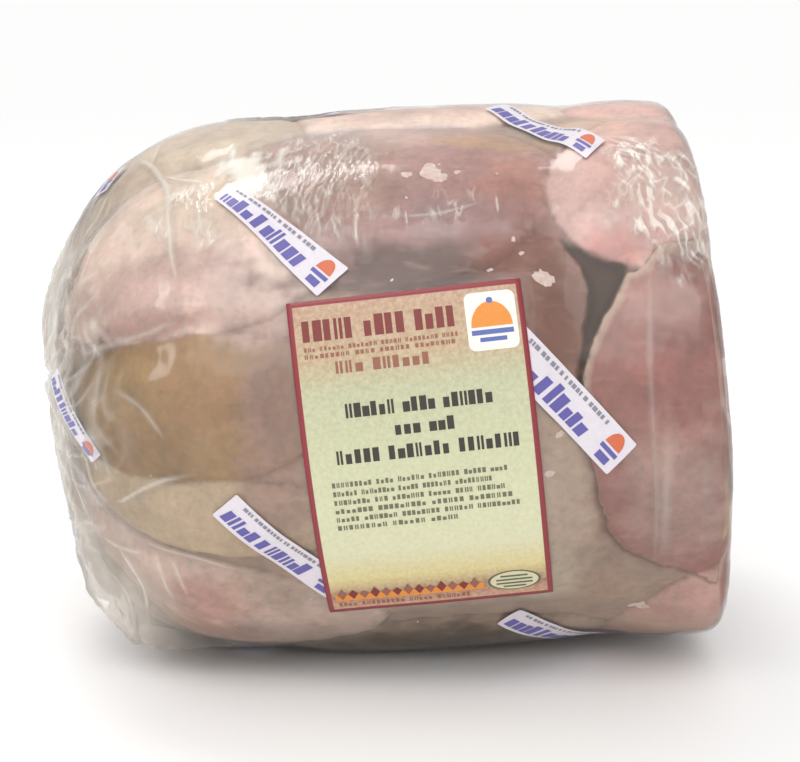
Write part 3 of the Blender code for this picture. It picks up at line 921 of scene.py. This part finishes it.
def face_wrinkles(x, angle, points):
    """A few long soft folds across the cut face, and short ones over its rim."""
    y, z = points[:, 1], points[:, 2] - axis_height(CUT_X)
    out = np.hypot(y, z)
    bend = 0.004 * field(points, 40.0, 71.0, 2)
    turns = np.degrees(y / RADIUS)
    long = streaks(z + bend, turns, 25, 0.02, 0.06, 72.0)
    short = streaks(arc(angle) + 0.6 * bend, np.degrees(out / RADIUS), 18, 0.0085, 0.02, 73.0)
    rim = np.exp(-(((out - 0.07) / 0.006) ** 2)) * smoothstep(-0.3, 0.3, field(points, 70.0, 74.0, 2))
    gate = smoothstep(0.0, 0.5, field(points, 30.0, 75.0, 2))
    milk_and_highlights = 0.3 * long**8 * gate * (1.0 - rim) + 0.1 * rim * short**2
    return milk_and_highlights, 0.00016 * long**6 * gate * (1.0 - rim) + 0.0001 * rim * short


# Fine sheets of film: run from, to and step, angle from, to and step, look, piece
SHEETS = (
    ((0.05, 0.092, 0.00022), (24.0, 76.0, 0.28), crinkled_corner, "film_folds"),
    ((-0.075, 0.05, 0.00028), (28.0, 86.0, 0.42), wrinkled_top, "film_folds"),
    ((-0.13, -0.042, 0.0007), (-180.0, 180.0, 0.6), gathered_end, "film_gather"),
    ((-0.042, 0.079, 0.0006), (92.0, 288.0, 0.65), far_wrinkles, "film_wrinkles"),
    ((0.079, 0.156, 0.0008), (-180.0, 180.0, 0.8), face_wrinkles, "film_wrinkles"),
)
# Their lift off the film, the least milkiness that stays, and how many steps stay round it
SHEET_LIFT = 0.00006
SHEET_LEAST = 0.04
SHEET_MARGIN = 4


def spread_out(grid, reach):
    """The largest value within reach steps of each place, so that what is kept has no gaps or lone faces."""
    for axis in (0, 1):
        for _ in range(reach):
            before = np.take(grid, [0, *range(grid.shape[axis] - 1)], axis=axis)
            after = np.take(grid, [*range(1, grid.shape[axis]), grid.shape[axis] - 1], axis=axis)
            grid = np.maximum(grid, np.maximum(before, after))
    return grid


def lay_sheet(mesh, film, runs, angles, look):
    """Adds a fine sheet of film over a stretch of the loaf, where its look makes folds."""
    along = np.arange(*runs)
    around = np.linspace(angles[0], angles[1], int(round((angles[1] - angles[0]) / angles[2])) + 1)
    grid_run, grid_angle = [g.ravel() for g in np.meshgrid(along, around, indexing="ij")]
    points, normals = film.at_run(grid_run, grid_angle)
    angle = turned(grid_angle)
    milk_and_highlights, rise = look(points[:, 0], angle, points)
    clear = 1.0 - under_strips(film, points)
    beside = np.abs(angle) < LABEL_SIDE
    clear[beside] *= 1.0 - under_label(points[beside, 0], angle[beside], FOLD_MARGIN)
    milk_and_highlights = np.clip(milk_and_highlights, 0.0, 0.9) * clear
    points = points + normals * (SHEET_LIFT + rise * clear)[:, None]
    points[:, 2] = np.maximum(points[:, 2], FILM_LEAST)
    here = np.arange(len(along) * len(around)).reshape(len(along), len(around))
    quads = np.stack([here[:-1, :-1], here[1:, :-1], here[1:, 1:], here[:-1, 1:]], axis=-1).reshape(-1, 4)
    near = spread_out(milk_and_highlights.reshape(here.shape), SHEET_MARGIN).ravel()
    quads = quads[near[quads].max(axis=1) > SHEET_LEAST]
    used, places = np.unique(quads, return_inverse=True)
    mesh.faces.extend((places.reshape(quads.shape) + len(mesh.vertices)).tolist())
    mesh.vertices.extend(points[used].tolist())
    mesh.milk_and_highlights.extend(milk_and_highlights[used].tolist())


def smooth_line(places, count):
    """A smooth curve through places, read at evenly spaced shares."""
    places = np.array(places, dtype=float)
    padded = np.vstack([2 * places[0] - places[1], places, 2 * places[-1] - places[-2]])
    share = np.linspace(0.0, len(places) - 1.0, count)
    step = np.minimum(share.astype(int), len(places) - 2)
    f = (share - step)[:, None]
    a, b, c, d = [padded[step + k] for k in range(4)]
    return 0.5 * (2 * b + (c - a) * f + (2 * a - 5 * b + 4 * c - d) * f**2 + (3 * b - a - 3 * c + d) * f**3)


def add_ridge(mesh, film, width, height, milk_and_highlights, line):
    """Lays a narrow raised strip on the film along a fold, thin at both ends."""
    rough = np.array(line, dtype=float)
    length = np.hypot(np.diff(rough[:, 0]), arc(np.diff(rough[:, 1]))).sum()
    smooth = smooth_line(line, max(6, int(length / RIDGE_STEP)))
    if under_label(smooth[:, 0], smooth[:, 1], FOLD_MARGIN).max() > 0.01:
        return
    points, normals = film.at(smooth[:, 0], smooth[:, 1])
    shares = np.linspace(0.0, 1.0, len(points))
    taper = smoothstep(0.0, 0.28, shares) * (1.0 - smoothstep(0.72, 1.0, shares))
    calm = 1.0 - under_strips(film, points)
    across = np.cross(normals, np.gradient(points, axis=0))
    across /= np.linalg.norm(across, axis=1, keepdims=True) + 1e-12
    rows = []
    for place in RIDGE_ACROSS:
        profile = math.exp(-(place**2)) if abs(place) < 2.0 else 0.0
        rise = height * profile * taper * calm - RIDGE_SINK
        row = points + across * (place * width * (0.35 + 0.65 * taper))[:, None] + normals * rise[:, None]
        row[:, 2] = np.maximum(row[:, 2], FILM_LEAST)
        rows.append(row)
        mesh.milk_and_highlights.extend((milk_and_highlights * profile * taper * calm).tolist())
    add_grid(mesh, np.concatenate(rows), len(rows))


def under_label(x, angle, margin):
    """1 under the label, falling to 0 a margin beyond its edge."""
    level = angle + np.degrees(AXIS_SLOPE * (x - LABEL_X) / RADIUS)
    across, up = rotated(x - LABEL_X, arc(turned(level - LABEL_ANGLE)), LABEL_TURN)
    beyond = np.maximum(np.abs(across) - LABEL_WIDTH / 2, np.abs(up) - LABEL_HEIGHT / 2)
    return 1.0 - smoothstep(0.0, margin, beyond)


def strip_corner_points(skin):
    """Where each printed strip's corners lie, in space."""
    found = []
    for corners, by_run in strip_places():
        spots = np.array(corners)
        found.append((skin.at_run if by_run else skin.at)(spots[:, 0], spots[:, 1])[0])
    return found


def under_strips(skin, points):
    """1 under a printed strip, where the film is smoother, and 0 elsewhere."""
    if skin.strips is None:
        skin.strips = strip_corner_points(skin)
    cover = np.zeros(len(points))
    for corners in skin.strips:
        along = (corners[1] + corners[2] - corners[0] - corners[3]) / 2
        down = (corners[2] + corners[3] - corners[0] - corners[1]) / 2
        out = np.cross(along, down)
        away = points - corners.mean(axis=0)
        flat = np.linalg.lstsq(np.stack([along, down], axis=1), away.T, rcond=None)[0]
        u, v = np.abs(flat)
        near = np.abs(away @ (out / np.linalg.norm(out))) < STRIP_NEAR
        inside = (1.0 - smoothstep(0.5, 0.56, u)) * (1.0 - smoothstep(0.5, 0.72, v))
        cover = np.maximum(cover, inside * near)
    return cover


def make_film(skin):
    x, angle = skin.x, skin.angle
    soft = field(skin.places, 75.0, 11.0, 2)
    cloudy = field(skin.places, 40.0, 12.0, 2)
    lines = field(skin.places, (300.0, 130.0, 120.0), 14.0, 2)
    fine = np.clip(1.0 - np.abs(lines) * 3.0, 0.0, 1.0) ** 2
    ragged = field(skin.places, (260.0, 90.0, 90.0), 15.0, 3)
    gather = smoothstep(0.06, 0.1, -skin.s)
    rim = np.exp(-(((skin.s - 0.087) / 0.01) ** 2))
    lift = FILM_LIFT + 0.00018 * soft + fine * (0.00012 * gather + 0.00008 * rim)
    haze_and_highlights = 0.024 + 0.03 * cloudy + fine * (0.08 * gather + 0.03 * rim)
    haze_and_highlights += 0.12 * gather + 0.34 * smoothstep(0.09, 0.108, -skin.s)
    for *patch, milk_and_highlights in HAZES:
        haze_and_highlights += milk_and_highlights * np.exp(-(patch_distance(x, angle, *patch) ** 2))
    for *patch, milk_and_highlights in GLARES:
        haze_and_highlights += milk_and_highlights * (1.0 - smoothstep(0.55, 1.25, patch_distance(x, angle, *patch) + 0.5 * ragged))
    lift += FLARE_REACH * np.exp(-(patch_distance(x, angle, *FLARE) ** 2)) * (1.0 + 0.25 * ragged)
    flat = under_label(x, angle, 0.003)
    lift = lift * (1.0 - flat) + FILM_LIFT * flat
    haze_and_highlights = haze_and_highlights * (1.0 - flat) + 0.05 * flat
    calm = 0.75 * under_strips(skin, skin.places)
    over = skin.moved(lift * (1.0 - calm) + (FILM_LIFT + 0.0001) * calm, FILM_LEAST)
    data = over.mesh("film")
    store(data, "haze_and_highlights", np.clip(haze_and_highlights, 0.02, 0.94))
    film = link("film", data, film_material("clear_film", (1.0, 1.0, 1.0)))
    meshes = {name: Sheet() for name in ("film_folds", "film_gather", "film_wrinkles")}
    for runs, angles, look, name in SHEETS:
        lay_sheet(meshes[name], over, runs, angles, look)
    for fold in FRONT_FOLDS:
        add_ridge(meshes["film_folds"], over, *fold)
    folded = film_material("folded_film", (0.99, 0.985, 0.98))
    return [film, *[make_sheet(name, mesh, folded) for name, mesh in meshes.items()]], over


# The printed strips on the film
STRIP_LENGTH = 0.041
STRIP_WIDTH = 0.0105
STRIP_TURN = math.radians(-45.0)
# How far from a strip's plane a place may lie and still count as under it
STRIP_NEAR = 0.012
STRIP_SEED = 3
STRIP_INKS = {
    "white": (srgb(218, 211, 218), 0.3),
    "blue": (srgb(98, 92, 160), 0.35),
    "grey": (srgb(136, 132, 142), 0.4),
    "orange": (srgb(206, 106, 74), 0.35),
}


def strip_corners(run, angle):
    """Corners of a strip laid slantwise on the film: upper left, upper right, lower right, lower left."""
    way = np.array([math.cos(STRIP_TURN), math.sin(STRIP_TURN)])
    up = np.array([-way[1], way[0]])
    corners = []
    for a, b in ((-0.5, 0.5), (0.5, 0.5), (0.5, -0.5), (-0.5, -0.5)):
        step = a * STRIP_LENGTH * way + b * STRIP_WIDTH * up
        corners.append((run + step[0], angle + math.degrees(step[1] / RADIUS)))
    return corners


# The corners of the strips in front, by x and angle, and the middles of the others, by run and angle
FRONT_STRIPS = (
    ((-0.0376, 56.5), (-0.0064, 34.5), (-0.014, 29.0), (-0.0405, 51.7)),
    ((0.0345, 91.0), (0.0583, 62.3), (0.0529, 57.0), (0.029, 86.0)),
    ((0.0357, 21.6), (0.0634, -1.5), (0.0564, -7.6), (0.0287, 15.5)),
    ((-0.0338, -9.1), (-0.0065, -28.0), (-0.012, -33.6), (-0.04, -13.7)),
    ((0.0373, -45.6), (0.065, -69.5), (0.059, -74.5), (0.0316, -51.0)),
)
FAR_STRIPS = (
    (-0.092, 1.0), (-0.089, 90.0), (-0.092, -58.0), (-0.09, 150.0), (-0.092, 222.0), (-0.023, 104.0),
    (-0.023, 165.0), (-0.023, 226.0), (-0.023, -84.0), (0.046, 137.0), (0.046, 200.0), (0.046, 252.0),
    (0.115, 44.0), (0.116, 118.0), (0.114, 190.0), (0.116, -88.0), (0.115, -25.0),
)


def strip_places():
    """Corners of every printed strip, and whether they are given by the run along the film."""
    near = [(corners, False) for corners in FRONT_STRIPS]
    return near + [(strip_corners(run, angle), True) for run, angle in FAR_STRIPS]


def printed(mesh, placer, box, steps, lift, slant=0.0):
    """Adds a patch of print between two corners of a 0 to 1 sheet, following the surface below."""
    (u0, v0), (u1, v1) = box
    us, vs = np.linspace(u0, u1, steps[0] + 1), np.linspace(v0, v1, steps[1] + 1)
    grid_u, grid_v = [g.ravel() for g in np.meshgrid(us, vs, indexing="ij")]
    add_grid(mesh, placer(grid_u + slant * (grid_v - (v0 + v1) / 2), grid_v, lift), len(us))


def outline_patch(mesh, placer, places, lift, step=0.03, rings=4):
    """Adds a patch of print from its outline, as rings that close in on its middle."""
    corners = np.array(places, dtype=float)
    dense = []
    for start, end in zip(corners, np.roll(corners, -1, axis=0)):
        count = max(1, int(math.ceil(np.abs(end - start).max() / step)))
        dense.extend(start + (end - start) * k / count for k in range(count))
    dense = np.array(dense)
    middle = dense.mean(axis=0)
    spots = np.concatenate([middle + (dense - middle) * (1.0 - ring / rings) for ring in range(rings)])
    last = add_grid(mesh, placer(spots[:, 0], spots[:, 1], lift), rings, True)
    add_fan(mesh, last, placer(middle[:1], middle[1:], lift)[0])


def rounded(u0, v0, u1, v1, radius_u, radius_v, steps=4):
    """Outline of a box with rounded corners."""
    places = []
    corners = ((u1, v0, -1, 1, -90), (u1, v1, -1, -1, 0), (u0, v1, 1, -1, 90), (u0, v0, 1, 1, 180))
    for u, v, in_u, in_v, start in corners:
        for step in range(steps + 1):
            turn = math.radians(start + 90 * step / steps)
            places.append((u + radius_u * (in_u + math.cos(turn)), v + radius_v * (in_v + math.sin(turn))))
    return places


def dome(middle_u, base_v, half, height, count):
    """Outline of a dome on its base."""
    turns = np.linspace(0, math.pi, count)
    return [(middle_u + half * math.cos(a), base_v - height * math.sin(a)) for a in turns]


def oval(middle_u, middle_v, half_u, half_v, count):
    turns = np.linspace(0, 2 * math.pi, count, endpoint=False)
    return [(middle_u + half_u * math.cos(a), middle_v + half_v * math.sin(a)) for a in turns]


def dummy_letter(mesh, placer, box, draw, lift, slant=0.0):
    """One block of the stand-in print: full, split in two stems, or short."""
    (left, top), (right, bottom) = box
    kind = draw.choice(("full", "split", "short", "full"))
    width, height = right - left, bottom - top
    if kind == "full":
        boxes = [((left, top), (right, bottom))]
    elif kind == "split":
        boxes = [((left, top), (left + 0.38 * width, bottom)), ((right - 0.38 * width, top), (right, bottom))]
    else:
        boxes = [((left, top + 0.28 * height), (right, bottom))]
    for part in boxes:
        printed(mesh, placer, part, (1, 2), lift, slant)


def facing_out(data):
    """Turns a sheet's faces away from the loaf's axis."""
    mesh = bmesh.new()
    mesh.from_mesh(data)
    for face in mesh.faces:
        middle = face.calc_center_median()
        core_x = min(END_START, max(DOME_START, middle.x))
        core = Vector((core_x, 0.0, float(axis_height(core_x))))
        if face.normal.dot(middle - core) < 0.0:
            face.normal_flip()
    mesh.to_mesh(data)
    mesh.free()


def make_strips(film):
    sheets = {name: Sheet() for name in STRIP_INKS}
    draw = random.Random(STRIP_SEED)
    for corners, by_run in strip_places():
        surface = film.at_run if by_run else film.at
        spots = [np.array(corner, dtype=float) for corner in corners]

        def placer(u, v, lift, spots=spots, surface=surface):
            u, v = np.asarray(u)[:, None], np.asarray(v)[:, None]
            spot = (spots[0] * (1 - u) + spots[1] * u) * (1 - v) + (spots[3] * (1 - u) + spots[2] * u) * v
            return surface(spot[:, 0], spot[:, 1], lift)[0]

        body = rounded(0.0, 0.0, 1.0, 1.0, 0.012, 0.045)
        outline_patch(sheets["white"], placer, body, PRINT_LIFT, 0.025, 8)
        at = 0.045
        for letters in (4, 1, 5):
            for _ in range(letters):
                width = draw.uniform(0.046, 0.066)
                top = draw.choice((0.34, 0.44, 0.48))
                box = ((at, top), (at + width, 0.88))
                dummy_letter(sheets["blue"], placer, box, draw, 2 * PRINT_LIFT, -0.05)
                at += width + 0.012
            at += 0.02
        at = 0.1
        while at < 0.78:
            width = draw.uniform(0.012, 0.035)
            printed(sheets["grey"], placer, ((at, 0.1), (at + width, 0.21)), (2, 1), 2 * PRINT_LIFT)
            at += width + draw.choice((0.008, 0.008, 0.022))
        printed(sheets["blue"], placer, ((0.835, 0.52), (0.965, 0.63)), (4, 1), 2 * PRINT_LIFT)
        outline_patch(sheets["orange"], placer, dome(0.9, 0.46, 0.058, 0.36, 14), 2 * PRINT_LIFT, 0.02, 3)
        printed(sheets["blue"], placer, ((0.855, 0.7), (0.945, 0.9)), (3, 2), 2 * PRINT_LIFT)
    inks = {name: ink("film_print_" + name, *look) for name, look in STRIP_INKS.items()}
    return [make_sheet("film_print_" + name, sheets[name], inks[name]) for name in sheets]


# The paper label and its print
LABEL_COLUMNS = 44
LABEL_ROWS = 66
LABEL_SEED = 8
# The border's inner edge, softened
BORDER_EDGES = (0.00125, 0.0014)
BORDER_COLOUR = srgb(140, 52, 58)
LABEL_INKS = {
    "red": srgb(126, 52, 48),
    "brown": srgb(150, 96, 80),
    "black": srgb(62, 58, 52),
    "grey": srgb(110, 108, 88),
    "orange": srgb(226, 142, 58),
    "blue": srgb(92, 108, 172),
    "white": srgb(240, 234, 224),
    "green": srgb(92, 104, 78),
    "peach": srgb(214, 206, 172),
}
# The paper's colours from head to foot
PAPER_STOPS = (
    (0.0, srgb(174, 135, 110)),
    (0.17, srgb(178, 152, 118)),
    (0.27, srgb(178, 180, 146)),
    (0.6, srgb(198, 200, 164)),
    (0.76, srgb(206, 205, 170)),
    (0.86, srgb(208, 192, 132)),
    (0.93, srgb(146, 97, 77)),
    (1.0, srgb(198, 147, 117)),
)
LOZENGES = 13
# The bars in the oval: top, left, right
OVAL_BARS = ((0.899, 0.775, 0.895), (0.914, 0.755, 0.915), (0.929, 0.755, 0.915), (0.943, 0.785, 0.885))


def label_places(u, v):
    """x and angle of places on the label, u from its left edge and v from its top, both 0 to 1."""
    across = (np.asarray(u, dtype=float) - 0.5) * LABEL_WIDTH
    up = (0.5 - np.asarray(v, dtype=float)) * LABEL_HEIGHT
    along, around = rotated(across, up, -LABEL_TURN)
    return LABEL_X + along, LABEL_ANGLE + np.degrees((around - AXIS_SLOPE * along) / RADIUS)


def label_wave(u, v):
    """How far the paper lifts off: a soft diagonal crease at its right and a slight unevenness."""
    line = v - (0.395 - 0.33 * (u - 0.75))
    crease = 0.00022 * np.exp(-((line / 0.012) ** 2)) * smoothstep(0.72, 0.86, u)
    return crease + 0.00006 * np.sin(9.0 * u + 4.0 * v) * np.sin(7.0 * v + 1.0)


def label_placer(skin):
    def placer(u, v, lift):
        x, angle = label_places(u, v)
        return skin.at(x, angle, PAPER_HIGH + label_wave(np.asarray(u), np.asarray(v))[:, None] + lift)[0]

    return placer


def paper_material():
    """Cream paper that warms towards its printed head and foot, in a dark red border."""
    n = Nodes("label_paper")
    u, v = n.split(n.add("ShaderNodeUVMap").outputs[0])[:2]
    ramp = n.add("ShaderNodeValToRGB", {0: v})
    elements = ramp.color_ramp.elements
    while len(elements) < len(PAPER_STOPS):
        elements.new(0.5)
    for element, (place, colour) in zip(elements, PAPER_STOPS):
        element.position = place
        element.color = (*colour, 1.0)
    fibre = n.noise(900.0, 4.0, 0.6)
    mottled = n.mix(n.between(fibre, 0.35, 0.65, 0.0, 0.22), ramp.outputs[0], srgb(246, 238, 212))
    edge_u = n.math("MINIMUM", u, n.math("SUBTRACT", 1.0, u))
    edge_v = n.math("MINIMUM", v, n.math("SUBTRACT", 1.0, v))
    edge = n.math("MINIMUM", n.times(edge_u, LABEL_WIDTH), n.times(edge_v, LABEL_HEIGHT))
    colour = n.mix(n.between(edge, *BORDER_EDGES, 1.0, 0.0), mottled, BORDER_COLOUR)
    normal = n.bump(fibre, 0.12, 0.0002)
    return n.finish(n.principled(Base_Color=colour, Roughness=0.42, Specular_IOR_Level=0.45, Normal=normal))


def make_paper(skin):
    mesh = Sheet()
    corners = ((0.0, 0.0), (1.0, 1.0))
    printed(mesh, label_placer(skin), corners, (LABEL_COLUMNS, LABEL_ROWS), 0.0)
    paper = make_sheet("label_paper", mesh, paper_material())
    layer = paper.data.uv_layers.new(name="sheet")
    for loop in paper.data.loops:
        column, row = divmod(loop.vertex_index, LABEL_ROWS + 1)
        layer.data[loop.index].uv = (column / LABEL_COLUMNS, row / LABEL_ROWS)
    solid = paper.modifiers.new("thickness", "SOLIDIFY")
    solid.thickness = PAPER_HIGH - PAPER_LOW
    solid.offset = -1.0
    return paper


# Rows of words on the label, as plain blocks: ink, left, right, top, bottom, share of a gap, and how many
# letters each word has
WORD_ROWS = (
    ("red", 0.055, 0.715, 0.058, 0.118, 0.22, (5, 4, 4)),
    ("brown", 0.055, 0.715, 0.134, 0.146, 0.3, (3, 6, 7, 5, 8, 4)),
    ("brown", 0.055, 0.7, 0.154, 0.166, 0.3, (9, 4, 6, 8)),
    ("brown", 0.18, 0.59, 0.18, 0.214, 0.24, (3, 6)),
    ("black", 0.2, 0.83, 0.3, 0.34, 0.22, (6, 4, 6)),
    ("black", 0.4, 0.66, 0.364, 0.402, 0.22, (3, 3)),
    ("black", 0.14, 0.93, 0.43, 0.47, 0.22, (5, 7, 7)),
    ("grey", 0.105, 0.86, 0.522, 0.537, 0.28, (9, 4, 6, 7, 5, 4)),
    ("grey", 0.105, 0.79, 0.549, 0.564, 0.28, (6, 8, 5, 7, 9)),
    ("grey", 0.105, 0.84, 0.576, 0.591, 0.28, (8, 3, 7, 5, 4, 6)),
    ("grey", 0.105, 0.87, 0.603, 0.618, 0.28, (7, 9, 6, 8)),
    ("grey", 0.105, 0.9, 0.63, 0.645, 0.28, (5, 7, 8, 6, 9)),
    ("grey", 0.105, 0.63, 0.657, 0.672, 0.28, (9, 6, 5)),
    ("brown", 0.05, 0.64, 0.955, 0.972, 0.3, (4, 9, 5, 7)),
)


def word_blocks(left, right, gap, words, draw):
    """Left and right ends of the blocks in one row, grouped as words."""
    unit = (right - left) / (sum(words) + 0.8 * (len(words) - 1))
    at = left
    blocks = []
    for word in words:
        for _ in range(word):
            wide = unit * (1.0 - gap) * draw.uniform(0.78, 1.08)
            blocks.append((at, min(at + wide, at + unit * 0.93)))
            at += unit
        at += 0.8 * unit
    return blocks


def make_label_print(skin):
    placer = label_placer(skin)
    sheets = {name: Sheet() for name in LABEL_INKS}
    draw = random.Random(LABEL_SEED)
    for name, left, right, top, bottom, gap, words in WORD_ROWS:
        for start, end in word_blocks(left, right, gap, words, draw):
            dummy_letter(sheets[name], placer, ((start, top), (end, bottom)), draw, 0.00005)
    # A serving dome over a dish, on a white ground
    outline_patch(sheets["white"], placer, rounded(0.75, 0.03, 0.965, 0.196, 0.03, 0.02), 0.00004)
    outline_patch(sheets["orange"], placer, dome(0.857, 0.13, 0.088, 0.072, 20), 0.00008)
    outline_patch(sheets["blue"], placer, oval(0.857, 0.055, 0.014, 0.009, 12), 0.0001)
    printed(sheets["blue"], placer, ((0.768, 0.138), (0.946, 0.152)), (4, 1), 0.00008)
    printed(sheets["blue"], placer, ((0.8, 0.16), (0.914, 0.172)), (3, 1), 0.00008)
    # A band of lozenges along the foot
    printed(sheets["orange"], placer, ((0.04, 0.918), (0.7, 0.946)), (12, 1), 0.00004)
    for step in range(LOZENGES):
        left = 0.05 + step * 0.049
        top = (left + 0.022, 0.893 + 0.006 * (step % 3))
        lozenge = [(left, 0.918), top, (left + 0.044, 0.918), (left + 0.022, 0.941)]
        outline_patch(sheets["red" if step % 2 else "brown"], placer, lozenge, 0.00007)
    # A plain oval with four bars
    outline_patch(sheets["green"], placer, oval(0.835, 0.922, 0.118, 0.042, 28), 0.00005)
    outline_patch(sheets["peach"], placer, oval(0.835, 0.922, 0.118 * 0.9, 0.042 * 0.9, 28), 0.00008)
    for top, left, right in OVAL_BARS:
        printed(sheets["green"], placer, ((left, top), (right, top + 0.007)), (4, 1), 0.00011)
    inks = {name: ink("label_" + name, colour, 0.45) for name, colour in LABEL_INKS.items()}
    return [make_sheet("label_print_" + name, sheets[name], inks[name]) for name in sheets]


# The bits of white fat under the film: x, angle, half length, half width, turn
FAT_BITS = (
    (0.014, 56.9, 0.003, 0.003, 20),
    (0.016, 54.9, 0.0022, 0.0018, -10),
    (0.0078, 56.3, 0.0015, 0.0012, 0),
    (0.0205, 56.5, 0.001, 0.0008, 0),
    (0.0412, 30.7, 0.003, 0.0023, -35),
    (0.0688, -48.7, 0.0028, 0.0018, 10),
    (0.0448, 0.2, 0.0013, 0.0008, 40),
    (0.0425, -7.4, 0.0012, 0.001, 0),
    (0.036, 36.5, 0.0008, 0.0007, 0),
    (0.034, 39.5, 0.0006, 0.0009, 0),
    (0.028, 33.0, 0.0009, 0.0006, 30),
)
FAT_RISE = 0.00022
FAT_RINGS = (1.0, 0.86, 0.62, 0.34)
FAT_SIDES = 26
FAT_SINK = 0.00005
FAT_SEED = 21
FAR_BITS = 22
FRONT_SPECKS = 26
FAT_COLOURS = (srgb(204, 178, 168), srgb(230, 214, 204))


def make_fat(meat):
    """Flat flakes of fat that lie on the meat, with uneven edges."""
    draw = random.Random(FAT_SEED)
    bits = list(FAT_BITS)
    for _ in range(FAR_BITS):
        spot = (draw.uniform(-0.06, 0.075), draw.uniform(95, 285))
        bits.append((*spot, draw.uniform(0.0006, 0.004), draw.uniform(0.0006, 0.0026), draw.uniform(0, 180)))
    for _ in range(FRONT_SPECKS):
        spot = (draw.uniform(-0.06, 0.048), draw.uniform(-70, 88))
        size = draw.uniform(0.00025, 0.0005)
        bits.append((*spot, size, size * draw.uniform(0.6, 1.0), draw.uniform(0, 180)))
    mesh = Sheet()
    turns = np.linspace(0, 2 * math.pi, FAT_SIDES, endpoint=False)
    for number, (x, angle, length, width, turn) in enumerate(bits):
        if under_label(np.array([x]), np.array([angle]), 0.001)[0] > 0.0:
            continue
        circle = [(math.cos(t), math.sin(t), number * 2.3) for t in turns]
        ragged = [1.0 + 0.42 * noise.fractal(Vector(place) * 1.5, 0.7, 2.0, 4) for place in circle]
        height = FAT_RISE * min(1.0, length / 0.002)
        rings = []
        for share in FAT_RINGS:
            a = np.cos(turns) * length * np.array(ragged) * share
            b = np.sin(turns) * width * np.array(ragged) * share
            along, around = rotated(a, b, -turn)
            rise = height * (1.0 - share**3) - FAT_SINK * (share == 1.0)
            rings.append(meat.at(x + along, angle + np.degrees(around / RADIUS), rise)[0])
        last = add_grid(mesh, np.concatenate(rings), len(rings), True)
        add_fan(mesh, last, meat.at(x, angle, height)[0][0])
    n = Nodes("white_fat")
    colour = n.mix(n.spread(n.noise(700.0, 4.0, 0.6), 0.0, 1.0), *FAT_COLOURS)
    look = {"Subsurface_Weight": 0.1, "Subsurface_Radius": (0.002, 0.0015, 0.001)}
    return make_sheet("fat_bits", mesh, n.finish(n.principled(Base_Color=colour, Roughness=0.5, **look)))


# The floor and the lights
FLOOR_HEIGHT = -0.0002
FLOOR_COLOUR = (0.95, 0.95, 0.945)
SKY_LIGHT = 0.8
SUN_LIGHT = 1.15
SUN_SIZE = math.radians(50)
SUN_WAY = Vector((0.1, 0.95, -1.0))
LIT_PLACE = Vector((0.0, 0.0, 0.08))
# Name, place, size, watts and colour
STUDIO_LIGHTS = (
    ("overhead", (-0.22, 0.3, 1.05), (0.3, 0.24), 2.2, (1.0, 0.995, 0.985)),
    ("side", (-0.75, -0.5, 0.6), (0.12, 0.3), 0.9, (1.0, 0.99, 0.98)),
)


def make_stage():
    bpy.ops.mesh.primitive_plane_add(size=80.0, location=(0.0, 0.0, FLOOR_HEIGHT))
    floor = bpy.context.object
    floor.name = "floor"
    floor.data.materials.append(ink("floor_white", FLOOR_COLOUR, 0.6, 0.0))
    world = bpy.data.worlds.new("studio")
    world.use_nodes = True
    background = world.node_tree.nodes["Background"]
    background.inputs["Color"].default_value = (1.0, 1.0, 1.0, 1.0)
    background.inputs["Strength"].default_value = SKY_LIGHT
    bpy.context.scene.world = world
    sun = bpy.data.lights.new("daylight", "SUN")
    sun.energy = SUN_LIGHT
    sun.angle = SUN_SIZE
    link("daylight", sun).rotation_euler = SUN_WAY.to_track_quat("-Z", "Y").to_euler()
    for name, place, size, watts, colour in STUDIO_LIGHTS:
        data = bpy.data.lights.new(name, "AREA")
        data.shape = "RECTANGLE"
        data.size, data.size_y = size
        data.energy = watts
        data.color = colour
        light = link(name, data)
        light.location = place
        light.rotation_euler = (LIT_PLACE - Vector(place)).to_track_quat("-Z", "Y").to_euler()


def make_camera():
    data = bpy.data.cameras.new("camera")
    data.lens = CAMERA_LENS
    data.sensor_width = 36.0
    data.clip_start = 0.01
    back = Vector((0.0, -math.cos(CAMERA_ELEVATION), math.sin(CAMERA_ELEVATION)))
    camera = link("camera", data)
    camera.location = CAMERA_TARGET + back * CAMERA_DISTANCE
    camera.rotation_euler = (-back).to_track_quat("-Z", "Y").to_euler()
    bpy.context.scene.camera = camera


def main():
    bpy.context.scene.view_settings.view_transform = "Standard"
    skin = lay_skin(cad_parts["loaf"])
    meat, under = make_meat(skin)
    films, over = make_film(skin)
    loaf_pieces = (meat, *films, make_fat(under), *make_strips(over))
    paper = make_paper(skin)
    label_pieces = (paper, *make_label_print(skin))
    for piece in (meat, films[0]):
        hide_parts("loaf")
    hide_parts("label")
    for piece in (*loaf_pieces, *label_pieces):
        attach(piece, "root")
    make_stage()
    make_camera()


main()
